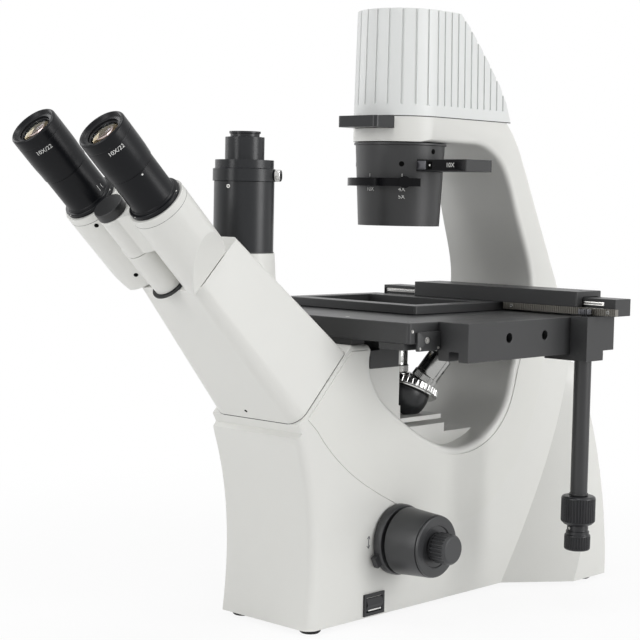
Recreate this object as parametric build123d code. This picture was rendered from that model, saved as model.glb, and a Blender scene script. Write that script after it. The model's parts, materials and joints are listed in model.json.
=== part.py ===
from build123d import *
import math
import os

os.makedirs("parts", exist_ok=True)

# Inverted microscope. Millimetres, +Z up, -Y towards the user, +X to the user's right.
# The origin is the optical axis of the objective and condenser on the bench top.

# stand
footHeight = 4.0
bodyHalf = 51.2
stageTop = 259.5
stageThick = 17.0
stageGap = 5.5
bodyFront = -160.5
taperStart = 240.0
armInset = 9.2
armThick = 22.0
splitHeight = 431.0
lampTall = 92.5
lampWall = 3.0
ribDepth = 1.3
ribWidth = 2.2
ribPitch = 9.4
ribStart = 10.0
noseRibs = 11
sideRibs = 10
lampDraft = 1.05
flareHalf = 94.0
flareTop = 204.0
flareFront = 99.0
flareCorner = 155.0
flareBack = 230.0
flareDraw = 98.0
flareCornerDraw = 52.0
flareSteps = 8
sideWall = 7.7
armWall = 7.0
plateLedge = 3.5
plateThick = 3.0
towerHalf = 30.0
towerFront = -76.0
towerBack = -29.0
towerDrop = 46.5
shelfDrop = 2.0
shelfBack = 35.0
coverDepth = 2.5
coverProud = 0.8
gap = 0.3

# head: local h runs up the tilted tube axis from the neck's end, t across it
headTilt = 44.15
seatY = -156.085
seatZ = 195.856
neckLength = 146.5
tubeOffset = 37.8
hingeDrop = 13.0
heelAngle = 60.0
housingRadius = 23.0
housingBottom = 2.0
housingTop = 80.0
prismTop = 34.0
knuckleSplit = 42.0
knuckleRadius = 12.0
pinRadius = 5.0
ocularRadius = 18.0
ocularTop = 115.0
eyepieceRadius = 17.3
eyepieceTop = 152.0
leftDiopter = 4.6

# camera port
portY = -192.3
portBase = 313.0
portRadius = 24.4
portTop = 370.5
cMountRadius = 12.7
couplerRadius = 15.875
adapterTop = 410.4
portBore = 10.0

# stage
stageHalf = 111.0
stageFront = -113.5
stageBack = 126.0
plateCorner = 3.0
stiffenerIn = 6.0
stiffenerWide = 27.0
stageOpening = 55.0
insertThick = 3.0
barWidth = 31.0
barThick = 32.0
barFront = -76.0
barBack = 122.0
carriageFront = 66.2
carriageBack = 108.0
coaxDepth = 25.6
coaxWidth = 17.7
grooveIn = 11.0
grooveWide = 10.0
grooveDeep = 8.0
rodOut = 7.5
rodY = 76.7
rodRadius = 7.5
rodBottom = 103.3
railFront = 92.0
railBack = 116.0
railLong = 266.0
railOut = 21.5
railHeight = 15.0
slideFront = 82.7
slideBack = 121.0
slideLong = 186.0
slideIn = 12.5
slideRise = 13.5
frameLong = 158.0
frameGap = 3.0
frameFront = -38.5
frameBack = 91.0
frameRise = 8.0
plateLong = 128.5
plateWide = 86.5
xPinion = 5.7
rackLong = 120.0
rackOut = 27.5
toothPitch = 2.0

# nosepiece: the turret axis leans back from the optical axis about its apex
turretLean = 25.0
apexDrop = 99.5
seatDistance = 44.0
ringRadius = 31.0
domeRadius = 24.0
objectiveCount = 4
carrierRise = 1.8
carrierThick = 4.2

# focus
focusY = -53.5
focusZ = 67.3
pinionRadius = 6.0
slideX = 21.0
slideWidth = 12.0
knobOut = 9.8
fineRadius = 13.2

# illumination
condenserGap = 1.0
condenserTall = 72.6
cupTopRadius = 39.8
cupBottomRadius = 36.3
sliderHalf = 17.5
sliderDrop = 24.5
sliderThick = 10.2
sliderEnd = 89.4
leverRadius = 46.4
leverDrop = 37.9
leverHeight = 7.0
trayHalf = 22.5
trayFront = -59.5
trayDrop = 10.5
trayThick = 9.8

# heights and places that follow from the sizes above
armHalf = bodyHalf - armInset
cavityHalf = bodyHalf - sideWall
cavityArm = armHalf - armWall
stageBase = stageTop - stageThick
bodyTop = stageBase - stageGap
towerTop = stageTop - towerDrop
apexZ = stageTop - apexDrop
shelfTop = apexZ - shelfDrop
carrierBase = apexZ + carrierRise
frameTop = stageTop + frameRise
slideTop = frameTop + slideRise
barRight = stageHalf + barWidth
barBase = stageTop - barThick
rodX = barRight + rodOut
railRight = rodX + railOut
railLeft = railRight - railLong
slideRight = rodX - slideIn
slideLeft = slideRight - slideLong
rackRight = rodX + rackOut
rackLeft = rackRight - rackLong
frameRight = rackLeft - frameGap
frameLeft = frameRight - frameLong
knobX = bodyHalf + knobOut
armUnder = splitHeight - armThick
lampTop = splitHeight + lampTall
condenserTop = armUnder - condenserGap
condenserBottom = condenserTop - condenserTall
sliderBase = condenserTop - sliderDrop
leverBase = condenserTop - leverDrop
trayBase = splitHeight - trayDrop
tiltCos = math.cos(math.radians(headTilt))
tiltSin = math.sin(math.radians(headTilt))
headY = seatY - neckLength * tiltCos
headZ = seatZ + neckLength * tiltSin


def save(name, shape):
    export_step(shape, "parts/" + name + ".step")
    print(name, round(shape.volume))


def block(x0, x1, y0, y1, z0, z1):
    return Pos((x0 + x1) / 2, (y0 + y1) / 2, (z0 + z1) / 2) * Box(x1 - x0, y1 - y0, z1 - z0)


def rod(radius, z0, z1, x=0.0, y=0.0):
    return Pos(x, y, (z0 + z1) / 2) * Cylinder(radius, z1 - z0)


def crossRod(radius, x0, x1, y, z):
    return Pos((x0 + x1) / 2, y, z) * Rot(0, 90, 0) * Cylinder(radius, x1 - x0)


def turned(points):
    # a solid turned about Z from a closed (radius, height) outline
    return revolve(Plane.XZ * make_face(Polyline(*points, close=True)), Axis.Z)


def ribs(shape, count, radius, width, depth, z0, z1):
    # even vertical grooves round a turned knob on the Z axis
    groove = block(radius - depth, radius + depth, -width / 2, width / 2, z0, z1)
    return shape - [Rot(0, 0, 360 * i / count) * groove for i in range(count)]


def mirrored(shape):
    return mirror(shape, Plane.YZ)


headPlane = Plane(
    origin=(0, headY, headZ),
    x_dir=(1, 0, 0),
    z_dir=(0, -tiltCos, tiltSin),
)


def headPoint(t, h):
    # the (Y, Z) place of a point t across and h up the tilted head
    return (headY + t * tiltSin - h * tiltCos, headZ + t * tiltCos + h * tiltSin)


def onHead(shape, x=0.0, t=0.0, h=0.0):
    return headPlane.location * Pos(x, t, h) * shape


# stand casting: one side profile carries base, bowl, column and arm
neckHigh = 51.0
neckLow = -28.0
throat = armUnder - bodyTop
bowl = [
    (-86.0, bodyTop), (-90.0, bodyTop - 18), (-84.0, bodyTop - 35), (-73.5, bodyTop - 48.5),
    (-57.0, bodyTop - 61), (-26.0, bodyTop - 80), (1.4, bodyTop - 92.5), (28.0, bodyTop - 98.5),
    (56.0, bodyTop - 95.5), (84.0, bodyTop - 81), (101.0, bodyTop - 59), (109.0, bodyTop - 31),
    (128.0, bodyTop + 6), (138.0, bodyTop + 0.25 * throat), (131.0, bodyTop + 0.436 * throat),
    (115.3, bodyTop + 0.6628 * throat), (99.0, armUnder - 21), (80.0, armUnder - 6),
    (52.0, armUnder),
]
lampHeel = 106.6
spine = [(207.0, footHeight), (213.5, 96.0), (209.0, bodyTop - 32),
         (182.7, bodyTop + 0.2616 * throat), (146.0, armUnder - 43), (125.0, armUnder),
         (lampHeel, splitHeight)]
lip = [(-171.5, 168.5), (-174.6, 164.5), (-173.0, 158.0)]


def standProfile():
    seatHigh = headPoint(neckHigh, -neckLength)
    seatLow = headPoint(neckLow, -neckLength)
    return make_face([
        Line((bodyFront, footHeight), spine[0]),
        Spline(*spine),
        Line(spine[-1], (-armHalf - 5, splitHeight)),
        Line((-armHalf - 5, splitHeight), (-armHalf - 5, armUnder)),
        Line((-armHalf - 5, armUnder), bowl[-1]),
        Spline(*bowl),
        Line(bowl[0], (-113.0, bodyTop)),
        Line((-113.0, bodyTop), seatHigh),
        Line(seatHigh, seatLow),
        Polyline(seatLow, *lip),
        Spline(lip[-1], (-160.5, 110.0), (-156.5, 60.0), (bodyFront, footHeight)),
    ])


def rim(shape, x, y, z):
    # the long side edges of the face nearest to a point
    face = shape.faces().sort_by_distance((x, y, z))[0]
    return [edge for edge in face.edges() if edge.bounding_box().size.X < bodyHalf / 2]


def archPlan(half, back):
    return Pos(0, back / 2) * Rectangle(2 * half, back) + Circle(half)


def standCore():
    core = extrude(Plane.YZ * standProfile(), amount=bodyHalf + 5, both=True)
    frontView = make_face(Polyline(
        (-bodyHalf, 0), (bodyHalf, 0), (bodyHalf, taperStart), (armHalf, armUnder - 20),
        (armHalf, splitHeight), (-armHalf, splitHeight), (-armHalf, armUnder - 20),
        (-bodyHalf, taperStart), close=True))
    core = core & extrude(Plane.XZ * frontView, amount=300, both=True)
    core = core.fillet(9, rim(core, 0, bodyFront, 90))
    core = core.fillet(5, rim(core, 0, bowl[7][0], bowl[7][1]))
    core = core.fillet(8, rim(core, 0, spine[1][0], spine[1][1]))
    core = core.fillet(5, rim(core, 0, -100, bodyTop))
    arm = Pos(0, 0, armUnder) * extrude(archPlan(armHalf, 200), amount=40)
    return core & (block(-100, 100, -300, 300, 0, armUnder) + arm)


def hollow():
    # the inside of the casting: an even wall under the bowl, up the column and round the base
    inside = make_face(Polyline(
        (-150, 0), (198, 0), (205, 96), (200, bodyTop - 37), (174, bodyTop + 0.25 * throat),
        (140, armUnder - 51), (118, armUnder - 13), (112, armUnder - 31),
        (123, bodyTop + 0.6628 * throat), (139, bodyTop + 0.436 * throat),
        (146, bodyTop + 0.25 * throat), (136, bodyTop + 6), (117, bodyTop - 31), (109, bodyTop - 57),
        (90, bodyTop - 87), (58, bodyTop - 104), (28, bodyTop - 107), (-2, bodyTop - 101),
        (-29, bodyTop - 88), (-60, bodyTop - 69), (-80, bodyTop - 55), (-98, bodyTop - 39),
        (-104, bodyTop - 15), (-121, bodyTop - 15), (-166, 166), (-150, 110), (-147, 60),
        close=True))
    width = make_face(Polyline(
        (-cavityHalf, 0), (cavityHalf, 0), (cavityHalf, taperStart), (cavityArm, armUnder),
        (-cavityArm, armUnder), (-cavityHalf, taperStart), close=True))
    across = extrude(Plane.YZ * inside, amount=bodyHalf, both=True)
    return across & extrude(Plane.XZ * width, amount=300, both=True)


def rearFlare():
    # the right rear foot: sections shrink from the splayed base to nothing up the column
    sections = []
    for i in range(flareSteps + 1):
        rise = i / flareSteps
        out = bodyHalf + 0.4 + (flareHalf - bodyHalf) * (1 - rise ** 1.6)
        edge = flareFront + flareDraw * (1 - (1 - rise) ** 1.5)
        corner = flareCorner + flareCornerDraw * (1 - (1 - rise) ** 2)
        outline = Polyline((armHalf, edge), (bodyHalf, edge), (out, corner), (out, flareBack),
                           (armHalf, flareBack), close=True)
        sections.append(Pos(0, 0, footHeight + (flareTop - footHeight) * rise) * make_face(outline))
    return loft(sections) & extrude(Plane.YZ * standProfile(), amount=flareHalf + 5)


def coverOutline(grow):
    # the side panel between the bowl's lip and the long styling line
    crease = [(-155.0, 170.0), (-139.0, 152.0), (-118.0, 134.0), (-90.0, 116.0), (-50.0, 96.0),
              (-5.0, 77.5), (32.0, 70.6), (68.0, 77.0), (99.0, 99.0), (121.0, 122.0),
              (141.0, 157.0), (150.0, 183.0), (153.0, 207.0), (151.0, bodyTop - 5)]
    coverTop = bodyTop - 5
    rimEdge = [(133.0, coverTop), (115.0, bodyTop - 37), (107.0, bodyTop - 62),
               (88.0, bodyTop - 87), (58.0, bodyTop - 102), (28.0, bodyTop - 105),
               (-1.0, bodyTop - 99), (-29.0, bodyTop - 86), (-60.0, bodyTop - 67.5),
               (-78.0, bodyTop - 54), (-90.0, bodyTop - 39), (-97.0, bodyTop - 21),
               (-96.0, coverTop)]
    points = crease + rimEdge + [(-115.0, coverTop), (-121.5, bodyTop - 11), (-166.0, 180.0)]
    moved = []
    for i, (y, z) in enumerate(points):
        before, after = points[i - 1], points[(i + 1) % len(points)]
        along = math.atan2(after[1] - before[1], after[0] - before[0])
        moved.append((y + grow * math.sin(along), z - grow * math.cos(along)))
    low, high = moved[:len(crease)], moved[len(crease):len(crease) + len(rimEdge)]
    return make_face([
        Spline(*low),
        Line(low[-1], high[0]),
        Spline(*high),
        Polyline(high[-1], *moved[-3:], low[0]),
    ])


def sideCover():
    panel = extrude(Plane.YZ * coverOutline(0), amount=coverDepth + coverProud)
    return Pos(bodyHalf - coverDepth, 0, 0) * panel


mirrorZ = seatZ + seatY * tiltSin / tiltCos
turretFrame = Pos(0, 0, apexZ) * Rot(-turretLean, 0, 0)
plateHalf = cavityHalf + plateLedge
plateFront = -153.5
plateBack = 201.5
switchInner = cavityHalf - 4.5
switchY = -81.0
switchZ = 15.0
switchWide = 26.0
switchTall = 19.0
dialY = -81.0
dialZ = 18.0
dialRadius = 11.0
inletZ = 34.0
inletWide = 28.0
inletTall = 21.0


def standCasting():
    body = standCore()
    flare = rearFlare()
    body += flare + mirrored(flare)
    body += block(-towerHalf, towerHalf, towerFront, towerBack, 100, towerTop)
    body += block(-towerHalf, towerHalf, towerBack - 1, shelfBack, 100, shelfTop)
    body += block(-towerHalf, towerHalf, shelfBack - 1, 86, 100, shelfTop - 8)
    body -= hollow()
    # the recess that the base plate closes
    body -= block(-plateHalf, plateHalf, plateFront, plateBack, 0, footHeight + plateThick)
    # light path: down through the shelf, then up along the neck
    body -= rod(13, 60, shelfTop + 5)
    body -= onHead(Pos(0, 0, -neckLength - 60) * Cylinder(14, 140))
    # guide slot for the focusing slide, open towards the turret
    slot = slideWidth / 2 + gap
    body -= block(slideX - slot, slideX + slot, focusY + pinionRadius, towerBack + 1,
                  bodyTop - 116, towerTop + 1)
    # focus shaft bearings
    body -= crossRod(5.1, -bodyHalf - 1, bodyHalf + 1, focusY, focusZ)
    # the arm's bore and filter slot
    body -= rod(19, armUnder - 1, splitHeight + 1)
    body -= block(-trayHalf - gap, trayHalf + gap, -armHalf - 10, 26, trayBase - gap,
                  trayBase + trayThick + gap)
    # pockets for the side covers, switch, dial and inlet
    pocket = Pos(bodyHalf - coverDepth, 0, 0) * extrude(Plane.YZ * coverOutline(gap), amount=10)
    body -= pocket
    body -= mirrored(pocket)
    body -= block(switchInner, bodyHalf + 1, switchY - 12, switchY + 12, switchZ - 7.9,
                  switchZ + 7.9)
    body -= crossRod(4.1, -bodyHalf - 1, -cavityHalf + 1, dialY, dialZ)
    body -= block(-inletWide / 2, inletWide / 2, 190, 230, inletZ - inletTall / 2,
                  inletZ + inletTall / 2)
    return body


casting = standCasting()
save("stand_casting", casting)
cover = sideCover()
save("side_cover_right", cover)
save("side_cover_left", mirrored(cover))


def rubberFeet():
    foot = turned([(0, 0), (7.5, 0), (9, 1.5), (9, footHeight), (0, footHeight)])
    places = [(40, -147), (-40, -147), (80, 188), (-80, 188)]
    return Compound([Pos(x, y, 0) * foot for x, y in places])


save("rubber_feet", rubberFeet())


# observation neck and camera boss

def neckSection(width, low, high, softCorner, crispCorner):
    face = Pos(0, (low + high) / 2) * Rectangle(width, high - low)
    lower = face.vertices().sort_by(Axis.Y)[:2]
    face = fillet(lower, softCorner)
    return fillet(face.vertices().sort_by(Axis.Y)[-2:], crispCorner)


def observationNeck():
    seat = Pos(0, 0, -neckLength + gap) * neckSection(2 * bodyHalf - 2.4, neckLow, neckHigh, 13, 5)
    end = neckSection(72.0, -17.5, 40.0, 9, 4)
    neck = headPlane.location * loft([seat, end])
    boss = Pos(0, portY, 0) * turned([(0, 262), (28.5, 262), (portRadius + 1.1, portBase),
                                      (0, portBase)])
    neck += boss
    neck -= onHead(Pos(0, 0, -neckLength / 2) * Cylinder(14, neckLength + 4))
    neck -= rod(16, 270, portBase + 1, 0, portY)
    neck -= onHead(Cylinder(pinRadius, 24), 0, -hingeDrop, 0)
    return neck


save("observation_neck", observationNeck())
save("tube_lens", onHead(Cylinder(13.9, 6), 0, 0, -neckLength + 30))
mirrorTilt = Pos(0, 0, mirrorZ) * Rot((90 - headTilt) / 2, 0, 0)
save("relay_mirror", mirrorTilt * Pos(0, 0, -2) * Box(34, 40, 4))
mirrorFoot = block(-12, 12, -17, 17, footHeight + 1, mirrorZ + 20)
mirrorFoot -= mirrorTilt * Pos(0, 0, 26) * Box(80, 90, 60)
save("base_plate", block(-plateHalf + gap, plateHalf - gap, plateFront + gap, plateBack - gap,
                         footHeight, footHeight + plateThick) + mirrorFoot)

# camera port
save("trinocular_tube", rod(portRadius, portBase, portTop, 0, portY)
     - rod(portRadius - 4, portBase - 1, portTop + 1, 0, portY))
adapter = turned([
    (portBore, portTop), (25.5, portTop), (25.5, portTop + 9.8), (23.75, portTop + 10.4),
    (23.75, portTop + 17), (couplerRadius, portTop + 17), (couplerRadius, 405.8),
    (cMountRadius - 0.9, 406.2), (cMountRadius - 0.9, 408.4), (cMountRadius, 408.8),
    (cMountRadius, adapterTop), (portBore, adapterTop)])
screwAngle = 30.0
screwZ = portTop + 4.9
screwHole = Rot(0, 0, screwAngle) * crossRod(2.0, portBore + 4, 30, 0, screwZ)
save("camera_adapter", Pos(0, portY, 0) * (adapter - screwHole))
thumbHead = Pos(0, 0, 28.2) * ribs(Cylinder(4.9, 5), 24, 4.9, 0.5, 0.4, -3, 3)
thumbScrew = thumbHead + Pos(0, 0, 20.9) * Cylinder(1.9, 10)
save("port_thumb_screw", Pos(0, portY, screwZ) * Rot(0, 0, screwAngle) * Rot(0, 90, 0) * thumbScrew)


# Siedentopf head: two prism housings hinged on one pin
def prismHousing(side, low, high):
    x = side * tubeOffset
    length = housingTop - housingBottom
    middle = (housingTop + housingBottom) / 2
    barrel = Pos(x, 0, middle) * Cylinder(housingRadius, length)
    # the outer side of the lower end is cut away by a steep flat
    heel = Pos(x, 0, housingBottom) * Rot(0, side * -heelAngle, 0) * Pos(0, 0, -60) * Box(120, 80, 120)
    web = Pos(side * tubeOffset / 2, -hingeDrop / 2, (low + high) / 2)
    reach = math.hypot(tubeOffset, hingeDrop)
    angle = math.degrees(math.atan2(hingeDrop, tubeOffset)) * side
    web = web * Rot(0, 0, angle) * Box(reach, 19, high - low)
    knuckle = Pos(0, -hingeDrop, (low + high) / 2) * Cylinder(knuckleRadius, high - low)
    shape = barrel - heel + web + knuckle
    shape -= Pos(x, 0, housingTop) * Cylinder(ocularRadius - 3, 2 * (housingTop - prismTop))
    shape -= Pos(0, -hingeDrop, 40) * Cylinder(pinRadius + 0.05, 100)
    return onHead(shape)


def ocularTube(x):
    collar = turned([(14.5, housingTop), (21, housingTop), (21, housingTop + 3.6),
                     (ocularRadius, housingTop + 4.4), (ocularRadius, ocularTop),
                     (14.5, ocularTop)])
    return onHead(collar, x)


def eyepiece(x, lift):
    base = ocularTop + gap + lift
    top = eyepieceTop + lift
    outline = [(0, base + 8), (eyepieceRadius - 5, base + 8), (eyepieceRadius - 5, base),
               (eyepieceRadius + 0.8, base), (eyepieceRadius + 0.8, base + 5),
               (eyepieceRadius, base + 5.6), (eyepieceRadius, top - 1.2),
               (eyepieceRadius - 1.2, top), (eyepieceRadius - 4, top), (11.5, top - 4),
               (11.5, top - 6), (0, top - 6)]
    sleeve = Pos(0, 0, ocularTop - 10) * (Cylinder(14.2, 20 + 2 * gap + 2 * lift)
                                        - Cylinder(11.8, 60))
    return onHead(turned(outline) + sleeve, x)


save("prism_housing_right", prismHousing(1, knuckleSplit + gap, housingTop))
save("prism_housing_left", prismHousing(-1, housingBottom, knuckleSplit))
for name, side, lift in (("right", 1, 0.0), ("left", -1, leftDiopter)):
    save("ocular_tube_" + name, ocularTube(side * tubeOffset))
    save("eyepiece_" + name, eyepiece(side * tubeOffset, lift))
hinge = Pos(0, 0, 36) * Cylinder(pinRadius, 90) + Pos(0, 0, 0.8) * Cylinder(11, 1.6)
hinge += Pos(0, 0, 84) * Cylinder(knuckleRadius, 7.4)
save("hinge_pin", onHead(hinge, 0, -hingeDrop, 0))

# lamp housing
def lampShell():
    outer = Pos(0, 0, splitHeight) * extrude(archPlan(armHalf, 140), amount=lampTop - splitHeight,
                                             taper=lampDraft)
    inner = Pos(0, 0, splitHeight - 1) * extrude(archPlan(armHalf - lampWall, 90),
                                                 amount=lampTop - splitHeight - 4, taper=lampDraft)
    slope = [(lampHeel, splitHeight), (99.4, splitHeight + 18), (90.0, splitHeight + 32.4),
             (68.0, lampTop - 35.1), (45.4, lampTop - 11.5), (34.0, lampTop - 2),
             (30.0, lampTop + 1)]

    def behind(shift):
        points = [(y - shift, z) for y, z in slope]
        face = make_face(Polyline(*points, (300, lampTop + 1), (300, splitHeight - 2),
                                  (points[0][0], splitHeight - 2), close=True))
        return extrude(Plane.YZ * face, amount=80, both=True)

    shell = (outer - behind(0)) - (inner - behind(lampWall + 2))
    tall = lampTop - splitHeight
    startRadius = armHalf - ribStart * math.tan(math.radians(lampDraft))
    cutter = Pos(startRadius, 0, splitHeight + ribStart) * Rot(0, -lampDraft, 0) * Pos(
        0, 0, tall / 2) * Box(2 * ribDepth, ribWidth, tall)
    cuts = [Rot(0, 0, -180 * i / noseRibs) * cutter for i in range(noseRibs + 1)]
    for i in range(1, sideRibs + 1):
        cuts.append(Pos(0, ribPitch * i, 0) * cutter)
        cuts.append(Pos(0, ribPitch * i, 0) * Rot(0, 0, 180) * cutter)
    return shell - cuts


save("lamp_housing", lampShell())
holderTop = splitHeight + 23
holder = rod(28, splitHeight, holderTop) + block(-28, 28, 20, 60, splitHeight, splitHeight + 4)
holder -= rod(22, splitHeight - 1, holderTop - 7)
save("lamp_holder", holder - rod(17, holderTop - 14, holderTop + 6))
lensBase = splitHeight + 5
save("collector_lens", turned([(0, lensBase), (21.9, lensBase), (21.9, lensBase + 5),
                               (12, lensBase + 9), (0, lensBase + 10.4)]))
save("halogen_lamp", rod(17, holderTop, holderTop + 8) + rod(6, holderTop - 6, holderTop)
     + rod(11, holderTop + 8, holderTop + 28))
lensBase = armUnder + 2
save("field_lens", turned([(0, lensBase), (18.9, lensBase), (18.9, lensBase + 5),
                           (10, lensBase + 7), (0, lensBase + 7.6)]))

# filter tray, pulled out towards the user
tray = block(-trayHalf, trayHalf, trayFront, 24, trayBase, trayBase + trayThick)
tray = fillet(tray.edges().filter_by(Axis.Z).sort_by(Axis.Y)[:2], 4)
tray -= rod(15.5, trayBase - 1, trayBase + 20)
tray -= rod(19.3, trayBase + 5, trayBase + 20)
save("filter_tray", tray)
save("blue_filter", rod(19, trayBase + 5, trayBase + 8))


# long-distance condenser
def condenserCup():
    outline = [(30, condenserTop), (30, armUnder), (19, armUnder), (19, condenserTop - 6),
               (cupTopRadius - 3, condenserTop - 6), (cupBottomRadius - 3, condenserBottom + 10),
               (cupBottomRadius - 3, condenserBottom), (cupBottomRadius, condenserBottom),
               (cupTopRadius, condenserTop - 2), (cupTopRadius + 1.4, condenserTop - 1.6),
               (cupTopRadius + 1.4, condenserTop)]
    cup = turned(outline)
    cup -= block(-60, 60, -sliderHalf - gap, sliderHalf + gap, sliderBase - gap,
                 sliderBase + sliderThick + gap)
    slot = block(-60, 24, -60, -12, leverBase + 2, leverBase + leverHeight - 2)
    return cup - (slot - rod(30, leverBase, leverBase + leverHeight))


def apertureLever():
    ring = rod(leverRadius, leverBase, leverBase + leverHeight)
    ring -= rod(cupTopRadius + 0.6, leverBase - 1, leverBase + leverHeight + 1)
    ring = ring & Rot(0, 0, -96) * Pos(0, 0, leverBase + 3.5) * extrude(make_face(Polyline(
        (0, 0), (33, 90), (90, 60), (90, -60), (33, -90), close=True)), amount=20, both=True)
    tongue = Rot(0, 0, -96) * block(33.5, 42, -5, 5, leverBase + 2.4, leverBase + leverHeight - 2.4)
    knobSpot = Rot(0, 0, -44) * Pos(leverRadius - 1, 0, leverBase + leverHeight / 2)
    knob = knobSpot * Rot(0, 90, 0) * Cylinder(5.2, 6)
    return ring + tongue + knob


save("condenser_body", condenserCup())
save("condenser_lens", turned([(0, condenserBottom + 3.1), (32.9, condenserBottom + 4.6),
                               (32.9, condenserBottom + 9.6), (20, condenserBottom + 14.6),
                               (0, condenserBottom + 16.6)]))
save("aperture_lever", apertureLever())
slider = block(-31, sliderEnd, -sliderHalf, sliderHalf, sliderBase, sliderBase + sliderThick)
for x in (0, 31, 62):
    slider -= rod(12, sliderBase - 1, sliderBase + sliderThick + 1, x)
save("phase_slider", slider)

# stage plate and insert
plate = block(-stageHalf, stageHalf, stageFront, stageBack, stageBase, stageTop)
plate = fillet(plate.edges().filter_by(Axis.Z), plateCorner)
plate -= rod(stageOpening, stageTop - insertThick, stageTop + 1)
plate -= rod(stageOpening - 3, stageBase - 1, stageTop + 1)
save("stage_plate", plate)
save("stage_insert", rod(stageOpening - 0.2, stageTop - insertThick, stageTop)
     - rod(16, stageBase, stageTop + 1))
bracketStep = stageBase - 13.5
bracket = block(-towerHalf, towerHalf, -68, towerBack - 1, towerTop, bracketStep)
bracket += block(-towerHalf, towerHalf, -56, towerBack - 1, bracketStep, stageBase)
bracket -= block(slideX - 7, slideX + 7, -60, towerBack, towerTop - 1, towerTop + 11)
rear = block(-40, 40, 98, stageBack, stageBase - 14.5, stageBase) - casting
front = block(-bodyHalf + 5, bodyHalf - 5, -110, -94, bodyTop, stageBase)
stiffenerRight = stageHalf - stiffenerIn
stiffenerLeft = stiffenerRight - stiffenerWide
stiffener = block(stiffenerLeft, stiffenerRight, stageFront + 1, stageBack - 4, bodyTop, stageBase)
save("stage_brackets", Compound([bracket, front, stiffener, mirrored(stiffener)] + rear.solids()))

# mechanical stage: side bar with a groove for the Y carriage
grooveLeft = stageHalf + grooveIn
grooveRight = grooveLeft + grooveWide
holeZ = stageTop - 13.8
bar = block(stageHalf, barRight, barFront, barBack, barBase, stageTop)
bar -= block(grooveLeft, grooveRight, barFront - 1, barBack + 1, barBase - 1, barBase + grooveDeep)
for y in (-21.0, 29.4):
    bar -= crossRod(2.9, stageHalf - 1, barRight + 1, y, holeZ)
    bar -= crossRod(4.0, stageHalf + 6, barRight + 1, y, holeZ)
save("stage_side_bar", bar)
coaxRight = barRight + gap + coaxWidth
coaxBase = barBase - 5.5
railBase = stageTop + 1.1


def yCarriage():
    body = block(barRight + gap, coaxRight, carriageFront, carriageFront + coaxDepth, coaxBase,
                 railBase)
    body += block(barRight + gap, coaxRight, carriageFront, carriageBack, barBase + 3, railBase)
    body += block(stageHalf + 5, coaxRight, carriageFront, carriageBack, coaxBase, barBase - gap)
    body += block(grooveLeft + gap, grooveRight - gap, carriageFront, carriageBack, barBase - 1,
                  barBase + grooveDeep - gap)
    body -= rod(6.2, coaxBase - 1, stageTop - 7.5, rodX, rodY)
    return body - rod(3.0, coaxBase - 1, railBase + 1, rodX, rodY)


save("y_carriage", yCarriage())
rail = block(railLeft, railRight, railFront, railBack, railBase, railBase + railHeight)
for y in (railFront, railBack):
    rail -= block(railLeft + 1, railRight - 12, y - 2.2, y + 2.2, railBase + 6, railBase + 12)
save("x_rail", rail)
xSlide = block(slideLeft, slideRight, slideFront, slideBack, frameTop, slideTop)
xSlide = fillet(xSlide.edges().filter_by(Axis.Z), 1.5)
xSlide -= block(slideLeft - 1, slideRight + 1, railFront - gap, railBack + gap, frameTop - 1,
                railBase + railHeight + gap)
save("x_carriage", xSlide)

# steel rack under the X carriage, teeth towards the pinion
rackFront = rodY + xPinion + gap
rack = block(rackLeft, rackRight, rackFront, rackFront + 4.5, frameTop - 6, frameTop)
tooth = block(-0.5, 0.5, rackFront - 1, rackFront + 0.7, frameTop - 7, frameTop + 1)
teeth = [Pos(rackLeft + toothPitch * (i + 0.5), 0, 0) * tooth
         for i in range(int((rackRight - rackLeft) / toothPitch))]
save("x_rack", rack - teeth)

# specimen frame for a well plate
frame = block(frameLeft, frameRight, frameFront, frameBack, stageTop + 0.4, frameTop)
frame = fillet(frame.edges().filter_by(Axis.Z), 3)
frameX = (frameLeft + frameRight) / 2
frameY = (frameFront + frameBack - 8) / 2
frame -= Pos(frameX, frameY, stageTop) * Box(plateLong, plateWide, 40)
save("specimen_frame", frame)

# coaxial stage drive
tube = rod(rodRadius, rodBottom, coaxBase) - rod(4.8, rodBottom - 1, coaxBase + 1)
save("stage_rod", Pos(rodX, rodY, 0) * tube)
yKnobBase = rodBottom - 25.7
yKnob = rod(15, yKnobBase, rodBottom - gap) + rod(4.7, rodBottom - 1, holeZ + 0.3)
yKnob = fillet(yKnob.edges().filter_by(GeomType.CIRCLE).filter_by(lambda e: e.radius > 14), 1.5)
yKnob = ribs(yKnob, 36, 15, 1.2, 0.7, yKnobBase + 1.4, rodBottom - 3)
save("stage_knob_y", Pos(rodX, rodY, 0) * (yKnob - rod(2.9, 0, stageTop)))
xKnobBase = yKnobBase - 22.7
xKnobNeck = xKnobBase + 13.6
xKnob = rod(11.4, xKnobBase, xKnobNeck) + rod(10.2, xKnobNeck, yKnobBase - gap)
xKnob = ribs(xKnob, 30, 11.4, 1.0, 0.7, xKnobBase + 1.1, xKnobNeck)
xKnob += rod(2.6, xKnobNeck, frameTop - 0.5)
pinion = ribs(Cylinder(xPinion, 5.2), 18, xPinion, 1.0, 0.7, -3, 3)
save("stage_knob_x", Pos(rodX, rodY, 0) * (xKnob + Pos(0, 0, frameTop - 3.2) * pinion))


# nosepiece
def onTurret(shape):
    return turretFrame * shape


lean = math.radians(turretLean)
seatRise = seatDistance * math.cos(lean)
seatOut = seatDistance * math.sin(lean)


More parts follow.
